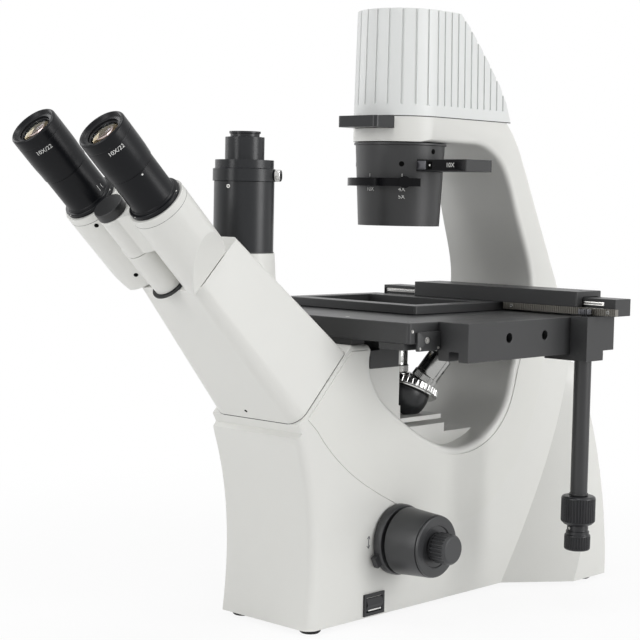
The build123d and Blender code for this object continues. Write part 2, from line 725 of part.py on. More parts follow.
def turret():
    slope = math.tan(lean)
    topRadius = 7.0
    coneTop = seatRise + (seatOut - topRadius) * slope + 1.0
    coneEdge = seatRise - (27.5 - seatOut) * slope + 1.0
    body = turned([(0, 28.3), (ringRadius, 28.3), (ringRadius, 36.3), (28.5, coneEdge - 0.4),
                   (27.5, coneEdge), (topRadius, coneTop), (0, coneTop)])
    body = ribs(body, 48, ringRadius, 1.6, 0.6, 29.2, 35.4)
    for i in range(objectiveCount):
        seat = Rot(0, 0, 360 * i / objectiveCount) * Rot(turretLean, 0, 0)
        body -= seat * Pos(0, 0, seatDistance + 10) * Cylinder(12.2, 20)
        body -= seat * Pos(0, 0, seatDistance - 6) * Cylinder(9, 14)
    return onTurret(body)


save("nosepiece_turret", turret())


def objective(index, length, nose, shoulder):
    base = seatDistance
    outline = [(7, base), (12, base), (12, base + 9), (11.2, base + 10), (11.2, base + shoulder),
               (9.4, base + shoulder + 2), (9.4, base + length - 7), (nose, base + length),
               (nose - 1.6, base + length), (nose - 1.6, base + length - 1), (7, base + length - 9)]
    body = turned(outline)
    return onTurret(Rot(0, 0, 90 * index) * Rot(turretLean, 0, 0) * body)


save("objective_10x", objective(0, 41.0, 4.8, 20))
save("objective_20x", objective(1, 41.5, 4.2, 27))
save("objective_40x", objective(2, 42.5, 3.6, 31))
save("objective_4x", objective(3, 32.0, 7.4, 14))

dome = onTurret(Pos(0, 0, 27) * Sphere(domeRadius)
                & Pos(0, 0, 8) * Cylinder(domeRadius + 1, 40))
carrierTop = carrierBase + carrierThick
dome -= block(-40, 40, -40, 80, apexZ - 40, carrierTop)
dome -= rod(10.5, carrierTop - 1, apexZ + 40)
save("nosepiece_dome", dome)
carrier = block(-22, slideX + slideWidth / 2, -24, 34, carrierBase, carrierTop)
carrier += block(slideX - slideWidth / 2, slideX + slideWidth / 2, -36, -23, carrierBase,
                 carrierBase + 16)
carrier -= rod(12.5, carrierBase - 1, carrierTop + 1)
rackBar = block(slideX - slideWidth / 2, slideX + slideWidth / 2, focusY + pinionRadius + gap, -36,
                40, carrierBase + 16)
notch = block(slideX - 9, slideX + 9, -60, focusY + pinionRadius + gap + 0.6, -0.45, 0.45)
rackBar -= [Pos(0, 0, 50 + 1.9 * i) * notch for i in range(20)]
save("focus_slide", carrier + rackBar)

# coaxial focus drive
shaft = crossRod(5.0, -knobX, knobX, focusY, focusZ)
shaft -= crossRod(3.2, -knobX - 1, knobX + 1, focusY, focusZ)
wheel = ribs(Cylinder(pinionRadius, slideWidth), 20, pinionRadius, 0.9, 0.7, -7, 7)
wheel = Pos(slideX, focusY, focusZ) * Rot(0, 90, 0) * (wheel - Cylinder(4.9, 40))
save("coarse_shaft", shaft + wheel)
coarse = turned([(3.3, knobX), (29, knobX), (29, knobX + 3), (27.8, knobX + 19),
                 (26.6, knobX + 34), (25.2, knobX + 36), (18, knobX + 36), (17.6, knobX + 34.6),
                 (3.3, knobX + 34.6)])
coarse = Pos(0, focusY, focusZ) * Rot(0, 90, 0) * coarse
fineX = knobX + 35
fine = ribs(rod(fineRadius, fineX, fineX + 16) + rod(12, fineX + 16, fineX + 18.6), 24, fineRadius,
            1.4, 0.8, fineX + 2, fineX + 17)
fine = Pos(0, focusY, focusZ) * Rot(0, 90, 0) * fine
save("coarse_knob_right", coarse)
save("coarse_knob_left", mirrored(coarse))
save("fine_knob_right", fine)
save("fine_knob_left", mirrored(fine))
save("fine_shaft", crossRod(3.1, -fineX, fineX, focusY, focusZ))
ringX = bodyHalf + 1.2
tension = turned([(20.3, ringX), (30.5, ringX), (30.5, ringX + 5.6), (29.5, ringX + 7.6),
                  (20.3, ringX + 7.6)])
tab = Rot(0, 0, 297) * block(28, 36, -5, 5, ringX + 0.4, ringX + 5.6)
save("tension_ring", Pos(0, focusY, focusZ) * Rot(0, 90, 0) * (tension + tab))
bush = crossRod(20, bodyHalf, knobX - 1, focusY, focusZ) - crossRod(5.1, 0, knobX, focusY, focusZ)
save("shaft_bushes", Compound(bush.solids() + mirrored(bush).solids()))

# switch, brightness dial and power inlet
bezel = block(bodyHalf, bodyHalf + 1.6, switchY - switchWide / 2, switchY + switchWide / 2,
              switchZ - switchTall / 2, switchZ + switchTall / 2)
bezel += block(switchInner, bodyHalf, switchY - 11.7, switchY + 11.7, switchZ - 7.6,
               switchZ + 7.6)
bezel -= block(switchInner + 3, bodyHalf + 5, switchY - 10, switchY + 10, switchZ - 6.4,
               switchZ + 6.4)
save("switch_bezel", bezel)
rocker = make_face(Polyline((bodyHalf - 6.2, -5.2), (bodyHalf + 0.6, -5.6), (bodyHalf + 2.6, 0),
                            (bodyHalf + 1.2, 5.6), (bodyHalf - 6.2, 5.2), close=True))
rocker = Pos(0, switchY, switchZ) * extrude(Plane.XZ * rocker, amount=9.7, both=True)
save("power_rocker", rocker)
dial = ribs(rod(dialRadius, bodyHalf + 1.2, bodyHalf + 9), 24, dialRadius, 1.0, 0.6, bodyHalf + 2,
            bodyHalf + 9) + rod(4.0, cavityHalf - 2, bodyHalf + 2)
save("brightness_dial", Pos(0, dialY, dialZ) * Rot(0, -90, 0) * dial)
inlet = block(-inletWide / 2, inletWide / 2, 190, 210.5, inletZ - inletTall / 2,
              inletZ + inletTall / 2)
inlet -= block(-12, 12, 196, 230, inletZ - 8.2, inletZ + 8.2)
for x, z in ((-5, -2), (5, -2), (0, 2)):
    inlet += block(x - 1, x + 1, 195, 208, inletZ + z - 2, inletZ + z + 2)
save("power_inlet", inlet)
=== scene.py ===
import json
import math

import bmesh
import bpy
import numpy as np
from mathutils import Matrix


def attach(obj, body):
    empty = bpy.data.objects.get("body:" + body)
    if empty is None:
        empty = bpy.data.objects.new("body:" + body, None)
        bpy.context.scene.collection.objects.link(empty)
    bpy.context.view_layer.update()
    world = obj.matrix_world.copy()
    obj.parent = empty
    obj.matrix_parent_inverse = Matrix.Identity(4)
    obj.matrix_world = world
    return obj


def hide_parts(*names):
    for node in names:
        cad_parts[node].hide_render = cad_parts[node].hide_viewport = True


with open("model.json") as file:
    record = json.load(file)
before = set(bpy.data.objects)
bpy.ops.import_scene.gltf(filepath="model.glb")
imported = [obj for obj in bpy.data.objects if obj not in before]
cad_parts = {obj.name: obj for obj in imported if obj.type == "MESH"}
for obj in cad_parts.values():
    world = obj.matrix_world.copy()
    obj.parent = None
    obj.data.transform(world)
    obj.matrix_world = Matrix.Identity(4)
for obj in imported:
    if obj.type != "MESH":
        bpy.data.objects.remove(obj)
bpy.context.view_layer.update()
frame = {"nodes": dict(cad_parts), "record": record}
bodyOf = {node: body for body, nodes in frame["record"]["behaviour"]["bodies"].items() for node in nodes}
scene = bpy.context.scene
scene.view_settings.view_transform = "Standard"
print("frame loaded", len(bodyOf), "nodes")

# Lengths are millimetres and angles degrees, up to the mesh, which is in metres.
# A place is three unit rows for a piece's own x, y and z, and the point they start from.
weld = 2e-6
flatAngle, sharpAngle, roundAngle = 0.4, 32.0, 30.0
facingRight = np.array([[0, 1.0, 0], [0, 0, 1.0], [1.0, 0, 0]])
facingFront = np.array([[1.0, 0, 0], [0, 0, 1.0], [0, -1.0, 0]])

head = {"start": (0.0, -261.2, 297.9), "tilt": 44.15, "tubeApart": 37.8, "hingeDrop": 13.0}
turretSpot = {"apex": (0.0, 0.0, 160.0), "lean": 25.0, "seat": 44.0}
focusSpot = {"y": -53.5, "z": 67.3}
portSpot = {"y": -192.3}


def turnAbout(axis, degrees):
    # rows of a turn by the right-hand rule about one of the three main axes
    c, s = math.cos(math.radians(degrees)), math.sin(math.radians(degrees))
    i, j = {"x": (1, 2), "y": (2, 0), "z": (0, 1)}[axis]
    rows = np.eye(3)
    rows[i, i], rows[i, j], rows[j, i], rows[j, j] = c, s, -s, c
    return rows


def upright(x=0.0, y=0.0, z=0.0, spin=0.0):
    return turnAbout("z", spin), np.array([x, y, z], float)


def headPlace(x=0.0, t=0.0, h=0.0, spin=0.0):
    # x to the right, t up the slope's face and h along the tubes
    c, s = math.cos(math.radians(head["tilt"])), math.sin(math.radians(head["tilt"]))
    rows = np.array([[1, 0, 0], [0, s, c], [0, -c, s]])
    start = np.array(head["start"]) + x * rows[0] + t * rows[1] + h * rows[2]
    return turnAbout("z", spin) @ rows, start


headRows = headPlace()[0]


def onBarrel(x, radius, angle, h):
    # a place on a tube of the head: z out of its wall, y up along it
    a = math.radians(angle)
    out = headRows[0] * math.cos(a) + headRows[1] * math.sin(a)
    up = headRows[2]
    start = headPlace(x, 0, h)[1] + out * radius
    return np.array([np.cross(up, out), up, out]), start


def turretPlace(index=None, spin=0.0):
    # the turret's own axis, or the axis of one of its four seats
    rows = turnAbout("x", -turretSpot["lean"])
    if index is not None:
        rows = turnAbout("x", turretSpot["lean"]) @ turnAbout("z", 90 * index) @ rows
    return turnAbout("z", spin) @ rows, np.array(turretSpot["apex"])


def sidePlace(side, y, z, x=0.0):
    # the piece's own z points out to the right or left
    return turnAbout("y", 90 * side), np.array([x, y, z], float)


def alongPlace(direction, start):
    # the piece's own z points along a direction
    z = np.array(direction, float)
    z /= np.linalg.norm(z)
    x = np.cross([0.0, 0.0, 1.0] if abs(z[2]) < 0.9 else [0.0, 1.0, 0.0], z)
    x /= np.linalg.norm(x)
    return np.array([x, np.cross(z, x), z]), np.array(start, float)


def lifted(place, height):
    # the same place, moved along its own z
    rows, start = place
    return rows, start + rows[2] * height


def compass(angle):
    # a level unit vector at an angle from the right
    return np.array([math.cos(math.radians(angle)), math.sin(math.radians(angle)), 0.0])


def sideName(side):
    return "right" if side > 0 else "left"


def placed(points, place):
    rows, start = place
    return (points.reshape(-1, 3) @ rows + start) / 1000


def coordinates(mesh):
    co = np.zeros(len(mesh.vertices) * 3)
    mesh.vertices.foreach_get("co", co)
    return co.reshape(-1, 3)


def moveVertices(mesh, co):
    mesh.vertices.foreach_set("co", co.ravel())
    mesh.update()


def newPiece(name, verts, faces, finish, body, replaced=()):
    mesh = bpy.data.meshes.new(name)
    mesh.from_pydata(verts.tolist(), [], faces.tolist())
    work = bmesh.new()
    work.from_mesh(mesh)
    bmesh.ops.remove_doubles(work, verts=work.verts, dist=weld)
    bmesh.ops.recalc_face_normals(work, faces=work.faces)
    work.to_mesh(mesh)
    work.free()
    return finishPiece(name, mesh, finish, body, replaced)


def finishPiece(name, mesh, finish, body, replaced=(), sharp=sharpAngle):
    mesh.polygons.foreach_set("use_smooth", np.ones(len(mesh.polygons), bool))
    mesh.set_sharp_from_angle(angle=math.radians(sharp))
    mesh.materials.clear()
    mesh.materials.append(finishes[finish])
    piece = bpy.data.objects.new(name, mesh)
    scene.collection.objects.link(piece)
    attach(piece, body)
    if replaced:
        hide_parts(*replaced)
    return piece


def gridFaces(rows, columns, closeAlong=False):
    # quads between neighbouring rows of a grid, whose columns go all the way round
    r, c = np.arange(rows if closeAlong else rows - 1), np.arange(columns)
    r, c = (a.ravel() for a in np.meshgrid(r, c, indexing="ij"))
    r2, c2 = (r + 1) % rows, (c + 1) % columns
    return np.stack([r * columns + c, r * columns + c2, r2 * columns + c2, r2 * columns + c], 1)


def eased(profile, reach, share=0.45, steps=4):
    # each inner corner is cut back by reach, at most a share of its side, and bridged by a parabola
    p = np.asarray(profile, float)
    inner, back, on = p[1:-1], p[:-2] - p[1:-1], p[2:] - p[1:-1]
    backLong = np.maximum(np.linalg.norm(back, axis=1, keepdims=True), 1e-9)
    onLong = np.maximum(np.linalg.norm(on, axis=1, keepdims=True), 1e-9)
    first = inner + back / backLong * np.minimum(reach, share * backLong)
    last = inner + on / onLong * np.minimum(reach, share * onLong)
    t = np.linspace(0, 1, steps)[None, :, None]
    curve = (1 - t) ** 2 * first[:, None] + 2 * t * (1 - t) * inner[:, None] + t ** 2 * last[:, None]
    return np.concatenate([p[:1], curve.reshape(-1, 2), p[-1:]])


def refine(outline, levels):
    # long upright runs of an outline get extra rows at the given heights
    rows, near = [outline[:1]], 1e-4
    for a, b in zip(outline[:-1], outline[1:]):
        low, high = min(a[1], b[1]) + near, max(a[1], b[1]) - near
        between = np.array([v for v in levels if low < v < high])
        if len(between):
            between = np.sort(between) if b[1] > a[1] else np.sort(between)[::-1]
            share = ((between - a[1]) / (b[1] - a[1]))[:, None]
            rows.append(a + share * (b - a))
        rows.append(b[None])
    return np.concatenate(rows)


def turned(name, profile, finish, body, place, steps=96, reach=0.35, closed=False, ribs=(), replaced=()):
    # a (radius, height) outline carried round its z; ribs lower the radius by a smoothed square wave
    outline = eased(profile + [profile[0]] if closed else profile, reach)
    if closed:
        outline = outline[:-1]
    if ribs:
        outline = refine(outline, np.concatenate([np.linspace(r["low"], r["high"], 3) for r in ribs]))
        steps = max([steps] + [r["count"] * r.get("fine", 8) for r in ribs])
    turn = np.linspace(0, 2 * math.pi, steps, endpoint=False)
    radius = np.repeat(outline[:, :1], steps, 1)
    height = np.repeat(outline[:, 1:], steps, 1)
    for r in ribs:
        wave = 0.5 + 0.5 * np.tanh(r.get("crisp", 2.5) * (np.cos(r["count"] * turn) + r.get("bias", 0.0)))
        inside = (height > r["low"] - 1e-6) & (height < r["high"] + 1e-6) & (radius > r["floor"])
        radius = radius - inside * r["depth"] * wave[None, :]
    points = np.stack([radius * np.cos(turn), radius * np.sin(turn), height], 2)
    faces = gridFaces(len(outline), steps, closeAlong=closed)
    return newPiece(name, placed(points, place), faces, finish, body, replaced)


def hoop(name, inner, outer, low, high, finish, body, place, reach=0.1, **more):
    # a closed ring with a square section
    return turned(name, [(inner, low), (outer, low), (outer, high), (inner, high)], finish, body, place,
                  reach=reach, closed=True, **more)


def holeShadeDisc(name, radius, tall, body, place):
    # a black button with a small chamfer, painted shade standing for the mouth of a hole too deep to see
    # into
    return turned(name, [(0, 0), (radius, 0), (radius, 0.2), (radius - 0.2, tall), (0, tall)], "paintedHoleShade",
                  body, place, steps=48, reach=0.05)


def slab(name, width, depth, height, finish, body, place, corner=1.0, edge=0.3):
    # a rounded rectangle carried up rows of (inset, height); the first and the last close to a point
    steps, soft = 7, edge * 0.3
    quarter = np.linspace(0, math.pi / 2, steps)
    angle = np.concatenate([quarter + k * math.pi / 2 for k in range(4)])
    right, back = np.repeat([1, -1, -1, 1], steps), np.repeat([1, 1, -1, -1], steps)
    rows = [(None, 0), (edge, 0), (soft, soft), (0, edge), (0, height - edge), (soft, height - soft),
            (edge, height), (None, height)]
    grid = []
    for inset, level in rows:
        w, d, r = (0.0, 0.0, 0.0) if inset is None else (width / 2 - inset, depth / 2 - inset,
                                                         max(corner - inset, 0.01))
        grid.append(np.stack([right * (w - r) + r * np.cos(angle), back * (d - r) + r * np.sin(angle),
                              np.full(len(angle), float(level))], 1))
    return newPiece(name, placed(np.array(grid), place), gridFaces(len(rows), len(angle)), finish, body)


def socketScrew(name, radius, tall, finish, body, place, drive=0.5):
    # a screw head: the wall of its socket is a hexagon, radius over the cosine of the angle in each sixth
    steps = 72
    turn = np.linspace(0, 2 * math.pi, steps, endpoint=False)
    hexagon = math.cos(math.pi / 6) / np.cos((turn % (math.pi / 3)) - math.pi / 6)
    rows = [(0, 0, 0), (radius, 0, 0), (radius, tall * 0.8, 0), (radius * 0.93, tall, 0),
            (radius * drive * 1.08, tall, 1), (radius * drive, tall * 0.93, 1),
            (radius * drive, tall * 0.35, 1), (0, tall * 0.3, 0)]
    grid = [np.stack([r * np.cos(turn) * (hexagon if six else 1), r * np.sin(turn) * (hexagon if six else 1),
                      np.full(steps, float(z))], 1) for r, z, six in rows]
    return newPiece(name, placed(np.array(grid), place), gridFaces(len(rows), steps), finish, body)


def ribbon(name, path, across, section, finish, place, closed=False):
    # a section of (across, up) points carried along a path in the place's own x and y
    grid = [np.column_stack([path + a * across, np.full(len(path), float(up))]) for a, up in section]
    return newPiece(name, placed(np.array(grid).transpose(1, 0, 2), place),
                    gridFaces(len(path), len(section), closeAlong=closed), finish, "stand")


def softened(node, finish, bevel):
    # a merged copy of a CAD node with its flats dissolved and its edges rounded
    mesh = frame["nodes"][node].data.copy()
    work = bmesh.new()
    work.from_mesh(mesh)
    bmesh.ops.remove_doubles(work, verts=work.verts, dist=weld)
    bmesh.ops.dissolve_limit(work, angle_limit=math.radians(flatAngle), verts=work.verts, edges=work.edges)
    work.to_mesh(mesh)
    work.free()
    if mesh.attributes.get("custom_normal"):
        mesh.attributes.remove(mesh.attributes["custom_normal"])
    piece = finishPiece(node + ".shown", mesh, finish, bodyOf[node], [node], roundAngle)
    if bevel:
        rounding = piece.modifiers.new("rounding", "BEVEL")
        rounding.width = bevel / 1000
        rounding.segments = 2
        rounding.limit_method = "ANGLE"
        rounding.angle_limit = math.radians(roundAngle)
        rounding.use_clamp_overlap = True
        rounding.harden_normals = True
        rounding.miter_outer = "MITER_ARC"
    return piece


def lettering(name, words, size, finish, body, place, wrap=0.0, tall=0.08):
    # words as a thin mesh, laid flat or bent round a barrel: x becomes an angle, y a height
    curve = bpy.data.curves.new(name, "FONT")
    curve.body = words
    curve.size = size
    curve.align_x, curve.align_y = "CENTER", "CENTER"
    curve.extrude = tall / 2
    curve.resolution_u = 3
    maker = bpy.data.objects.new(name, curve)
    mesh = bpy.data.meshes.new_from_object(maker)
    bpy.data.objects.remove(maker)
    co = coordinates(mesh)
    if wrap:
        turn, far = co[:, 0] / wrap, wrap + co[:, 2]
        co = np.stack([far * np.cos(turn), far * np.sin(turn), co[:, 1]], 1)
    moveVertices(mesh, placed(co, place))
    return finishPiece(name, mesh, finish, body)


# finishes
def mathsNode(tree, operation, *values, clamp=False):
    # the output of a maths node; each value is a number, or the socket that it comes from
    node = tree.nodes.new("ShaderNodeMath")
    node.operation, node.use_clamp = operation, clamp
    for socket, value in zip(node.inputs, values):
        if isinstance(value, bpy.types.NodeSocket):
            tree.links.new(value, socket)
        else:
            socket.default_value = value
    return node.outputs[0]


def grainGroup():
    # colour clouds, roughness clouds and a fine height from noise in the piece's own metres
    group = bpy.data.node_groups.new("surfaceGrain", "ShaderNodeTree")
    for way, labels in (("INPUT", ("Color", "Spread", "Roughness", "RoughSpread", "Grain", "Clouds")),
                        ("OUTPUT", ("Color", "Roughness", "Height"))):
        for label in labels:
            kind = "NodeSocketColor" if label == "Color" else "NodeSocketFloat"
            group.interface.new_socket(name=label, in_out=way, socket_type=kind)
    n, link = group.nodes, group.links.new
    into, out, place = n.new("NodeGroupInput"), n.new("NodeGroupOutput"), n.new("ShaderNodeTexCoord")
    clouds, fine = n.new("ShaderNodeTexNoise"), n.new("ShaderNodeTexNoise")
    for noise, scale, detail in ((clouds, "Clouds", 5), (fine, "Grain", 2)):
        noise.inputs["Detail"].default_value = detail
        link(place.outputs["Object"], noise.inputs["Vector"])
        link(into.outputs[scale], noise.inputs["Scale"])
    broad = mathsNode(group, "SUBTRACT", clouds.outputs["Fac"], 0.5)
    both = mathsNode(group, "ADD", broad, mathsNode(group, "SUBTRACT", fine.outputs["Fac"], 0.5))
    lift = mathsNode(group, "MULTIPLY_ADD", both, into.outputs["Spread"], 1.0)
    rough = mathsNode(group, "MULTIPLY_ADD", broad, into.outputs["RoughSpread"], into.outputs["Roughness"],
                      clamp=True)
    shade = n.new("ShaderNodeVectorMath")
    shade.operation = "SCALE"
    link(into.outputs["Color"], shade.inputs[0])
    link(lift, shade.inputs["Scale"])
    link(shade.outputs[0], out.inputs["Color"])
    link(rough, out.inputs["Roughness"])
    link(fine.outputs["Fac"], out.inputs["Height"])
    return group


# A finish has its export slot, colour, roughness, cloud spread, the scale of its grain, and the strength and
# height in metres of its bump. Each family's values hold where a finish says nothing else.
paint = {"slot": "shell", "spread": 0.02, "grain": 1600, "bump": 0.05, "height": 0.0001, "coat": 0.15}
black = {"slot": "plastic", "rough": 0.32, "spread": 0.15, "grain": 3600, "bump": 0.05, "height": 0.00005}
steel = {"slot": "steel", "rough": 0.3, "spread": 0.1, "grain": 2600, "bump": 0.05, "height": 0.00005,
         "metal": 1.0}
ink = {"slot": "cover", "rough": 0.45, "spread": 0.03, "grain": 3000, "bump": 0.05, "height": 0.00003}
glass = {"slot": "lens", "rough": 0.03, "spread": 0.01, "grain": 600, "bump": 0.0, "height": 0.00001,
         "glass": 1.0}
finishTable = {
    "shellPaint": {**paint, "color": (0.745, 0.745, 0.715), "rough": 0.42, "grain": 1400, "height": 0.00012},
    "coverPaint": {**paint, "slot": "cover", "color": (0.74, 0.74, 0.705), "rough": 0.4, "bump": 0.04},
    "lampPaint": {**paint, "color": (0.76, 0.775, 0.765), "rough": 0.45, "coat": 0.1},
    "blackAnodise": {**black, "slot": "anodised", "color": (0.027, 0.0275, 0.0285), "rough": 0.4,
                     "spread": 0.2, "grain": 4200, "bump": 0.1, "height": 0.00006, "spec": 0.46},
    "blackSatin": {**black, "color": (0.014, 0.015, 0.0165), "spread": 0.2, "bump": 0.06, "spec": 0.42},
    "eyeBlack": {**black, "color": (0.004, 0.0045, 0.006), "rough": 0.33, "bump": 0.04, "height": 0.00004,
                 "spec": 0.2},
    "portBlack": {**black, "slot": "anodised", "color": (0.009, 0.01, 0.012), "spec": 0.4},
    "knobGrey": {**black, "color": (0.036, 0.037, 0.039), "rough": 0.36, "spread": 0.12, "bump": 0.06},
    "leverBlack": {**black, "color": (0.003, 0.003, 0.004), "rough": 0.2, "spread": 0.1, "bump": 0.03,
                   "height": 0.00003, "spec": 0.12},
    "blackMatt": {**black, "color": (0.012, 0.0125, 0.0145), "rough": 0.36, "spread": 0.25, "grain": 2200,
                  "bump": 0.12, "height": 0.00008, "spec": 0.4},
    "gripRubber": {**black, "slot": "rubber", "color": (0.011, 0.011, 0.012), "rough": 0.6, "spread": 0.25,
                   "grain": 1800, "bump": 0.25, "height": 0.00012, "spec": 0.25},
    "lensSteel": {**steel, "slot": "chrome", "color": (0.4, 0.4, 0.39), "rough": 0.2, "spread": 0.05,
                  "grain": 900, "bump": 0.02},
    "chromePlate": {**steel, "slot": "chrome", "color": (0.66, 0.66, 0.65), "rough": 0.14, "spread": 0.03,
                    "grain": 900, "bump": 0.01},
    # painted shade: near-black with almost no shine, for the insides of holes
    "paintedHoleShade": {**black, "color": (0.002, 0.002, 0.002), "rough": 0.8, "spread": 0.1, "grain": 3000,
                  "bump": 0.02, "height": 0.00002, "spec": 0.05},
    "rackSteel": {**steel, "color": (0.24, 0.23, 0.21), "rough": 0.34, "spread": 0.15, "grain": 1500,
                  "bump": 0.1},
    "satinSteel": {**steel, "color": (0.62, 0.61, 0.59), "spread": 0.08},
    "darkSteel": {**steel, "color": (0.12, 0.12, 0.13)},
    "whiteInk": {**ink, "color": (0.8, 0.8, 0.78), "rough": 0.5},
    "yellowInk": {**ink, "color": (0.75, 0.52, 0.06)},
    "greenInk": {**ink, "color": (0.08, 0.36, 0.13)},
    "blueInk": {**ink, "color": (0.07, 0.22, 0.6)},
    "redInk": {**ink, "color": (0.55, 0.05, 0.04)},
    "greyInk": {**ink, "slot": "plastic", "color": (0.16, 0.16, 0.17), "rough": 0.5, "spread": 0.05},
    "seamShadow": {**ink, "slot": "plastic", "color": (0.05, 0.05, 0.05), "rough": 0.7, "spread": 0.1},
    "coatedLens": {**glass, "color": (0.5, 0.42, 0.42), "rough": 0.02, "film": 300.0, "spec": 0.25},
    "clearLens": {**glass, "color": (0.92, 0.95, 0.97)},
    "blueGlass": {**glass, "slot": "blue_glass", "color": (0.2, 0.38, 0.85), "rough": 0.04},
    "silvered": {**glass, "slot": "mirror", "color": (0.9, 0.9, 0.9), "glass": 0.0, "metal": 1.0},
}
# what all finishes share: size of the clouds, share of roughness that they vary, and clear layers
common = {"clouds": 45.0, "roughShare": 0.25, "coatRough": 0.3, "spec": 0.5, "filmIndex": 1.38}
grain = grainGroup()


def makeFinish(name, look):
    material = bpy.data.materials.new(name)
    material.use_nodes = True
    n, link = material.node_tree.nodes, material.node_tree.links.new
    shader = n["Principled BSDF"]
    surface = n.new("ShaderNodeGroup")
    surface.node_tree = grain
    for label, value in (("Color", (*look["color"], 1)), ("Spread", look["spread"]),
                         ("Roughness", look["rough"]), ("RoughSpread", look["rough"] * common["roughShare"]),
                         ("Grain", look["grain"]), ("Clouds", common["clouds"])):
        surface.inputs[label].default_value = value
    link(surface.outputs["Color"], shader.inputs["Base Color"])
    link(surface.outputs["Roughness"], shader.inputs["Roughness"])
    if look["bump"]:
        bump = n.new("ShaderNodeBump")
        bump.inputs["Strength"].default_value = look["bump"]
        bump.inputs["Distance"].default_value = look["height"]
        link(surface.outputs["Height"], bump.inputs["Height"])
        link(bump.outputs["Normal"], shader.inputs["Normal"])
    shader.inputs["Metallic"].default_value = look.get("metal", 0.0)
    shader.inputs["Transmission Weight"].default_value = look.get("glass", 0.0)
    shader.inputs["Coat Weight"].default_value = look.get("coat", 0.0)
    shader.inputs["Coat Roughness"].default_value = common["coatRough"]
    shader.inputs["Specular IOR Level"].default_value = look.get("spec", common["spec"])
    if look.get("film"):
        shader.inputs["Thin Film Thickness"].default_value = look["film"]
        shader.inputs["Thin Film IOR"].default_value = common["filmIndex"]
    return material


finishes = {name: makeFinish(name, look) for name, look in finishTable.items()}
print("finishes made", len(finishes))

# light, floor and camera, in metres
studio = {"world": 0.34, "floorColor": 0.9, "floorRough": 0.8, "floorShine": 0.2, "floorGlow": 0.9,
          "floorNear": 0.15, "floorFar": 0.8, "floorHalf": 6.0, "aim": (0.0, -0.05, 0.22),
          "lamps": {"frontLamp": ((-0.25, -2.3, 1.0), (0.8, 1.6), 19.0),
                    "rightLamp": ((2.2, 0.7, 0.9), (1.0, 1.6), 29.0),
                    "topLamp": ((0.2, -0.3, 2.4), (0.9, 0.9), 16.0),
                    "leftLamp": ((-2.2, -0.6, 1.2), (0.6, 1.4), 9.0)}}


def seenRay(tree):
    # one where the ray comes straight from the camera, or by way of metal or glass
    rays = tree.nodes.new("ShaderNodeLightPath").outputs
    metal = mathsNode(tree, "MAXIMUM", rays["Is Camera Ray"], rays["Is Glossy Ray"])
    return mathsNode(tree, "MAXIMUM", metal, rays["Is Transmission Ray"])


def whiteWorld():
    world = bpy.data.worlds.new("whiteRoom")
    world.use_nodes = True
    n, link = world.node_tree.nodes, world.node_tree.links.new
    n.clear()
    room, seen = n.new("ShaderNodeBackground"), n.new("ShaderNodeBackground")
    room.inputs["Strength"].default_value = studio["world"]
    seen.inputs["Color"].default_value = (1, 1, 1, 1)
    seen.inputs["Strength"].default_value = 1.0
    choose, out = n.new("ShaderNodeMixShader"), n.new("ShaderNodeOutputWorld")
    link(seenRay(world.node_tree), choose.inputs["Fac"])
    link(room.outputs[0], choose.inputs[1])
    link(seen.outputs[0], choose.inputs[2])
    link(choose.outputs[0], out.inputs["Surface"])
    scene.world = world


def paleFloor():
    half, pale = studio["floorHalf"], studio["floorColor"]
    mesh = bpy.data.meshes.new("floor")
    mesh.from_pydata([(-half, -half, 0), (half, -half, 0), (half, half, 0), (-half, half, 0)], [],
                     [(0, 1, 2, 3)])
    material = bpy.data.materials.new("paleFloor")
    material.use_nodes = True
    n, link = material.node_tree.nodes, material.node_tree.links.new
    shader = n["Principled BSDF"]
    shader.inputs["Base Color"].default_value = (pale, pale, pale, 1)
    shader.inputs["Roughness"].default_value = studio["floorRough"]
    shader.inputs["Specular IOR Level"].default_value = studio["floorShine"]
    # white glow for seen rays, from a share near the object to all of it where the floor meets the backdrop
    place, far = n.new("ShaderNodeTexCoord"), n.new("ShaderNodeVectorMath")
    fade = n.new("ShaderNodeMapRange")
    far.operation, fade.interpolation_type = "LENGTH", "SMOOTHSTEP"
    for label, value in (("From Min", studio["floorNear"]), ("From Max", studio["floorFar"]),
                         ("To Min", studio["floorGlow"]), ("To Max", 1.0)):
        fade.inputs[label].default_value = value
    link(place.outputs["Object"], far.inputs[0])
    link(far.outputs["Value"], fade.inputs["Value"])
    share = mathsNode(material.node_tree, "MULTIPLY", fade.outputs["Result"], seenRay(material.node_tree))
    glow, both = n.new("ShaderNodeEmission"), n.new("ShaderNodeMixShader")
    link(share, both.inputs["Fac"])
    link(shader.outputs[0], both.inputs[1])
    link(glow.outputs[0], both.inputs[2])
    link(both.outputs[0], n["Material Output"].inputs["Surface"])
    mesh.materials.append(material)
    floor = bpy.data.objects.new("floor", mesh)
    scene.collection.objects.link(floor)


def frameMatrix(rows, spot):
    # the three axes and then the place, one after another, as a lamp or camera takes them
    full = np.eye(4)
    full[:3, :3], full[3, :3] = rows, spot
    return full.tolist()


def softLamps():
    for name, (spot, size, power) in studio["lamps"].items():
        lamp = bpy.data.lights.new(name, "AREA")
        lamp.shape, lamp.size, lamp.size_y, lamp.energy = "RECTANGLE", *size, power
        holder = bpy.data.objects.new(name, lamp)
        scene.collection.objects.link(holder)
        holder.matrix_world = frameMatrix(*alongPlace(np.array(spot) - np.array(studio["aim"]), spot))


view = {"spot": (0.93508, -1.09355, 0.35568), "azimuth": 43.26, "pitch": 4.24, "roll": -1.16, "lens": 90.126,
        "sensor": 36.0, "near": 0.05, "far": 30.0}


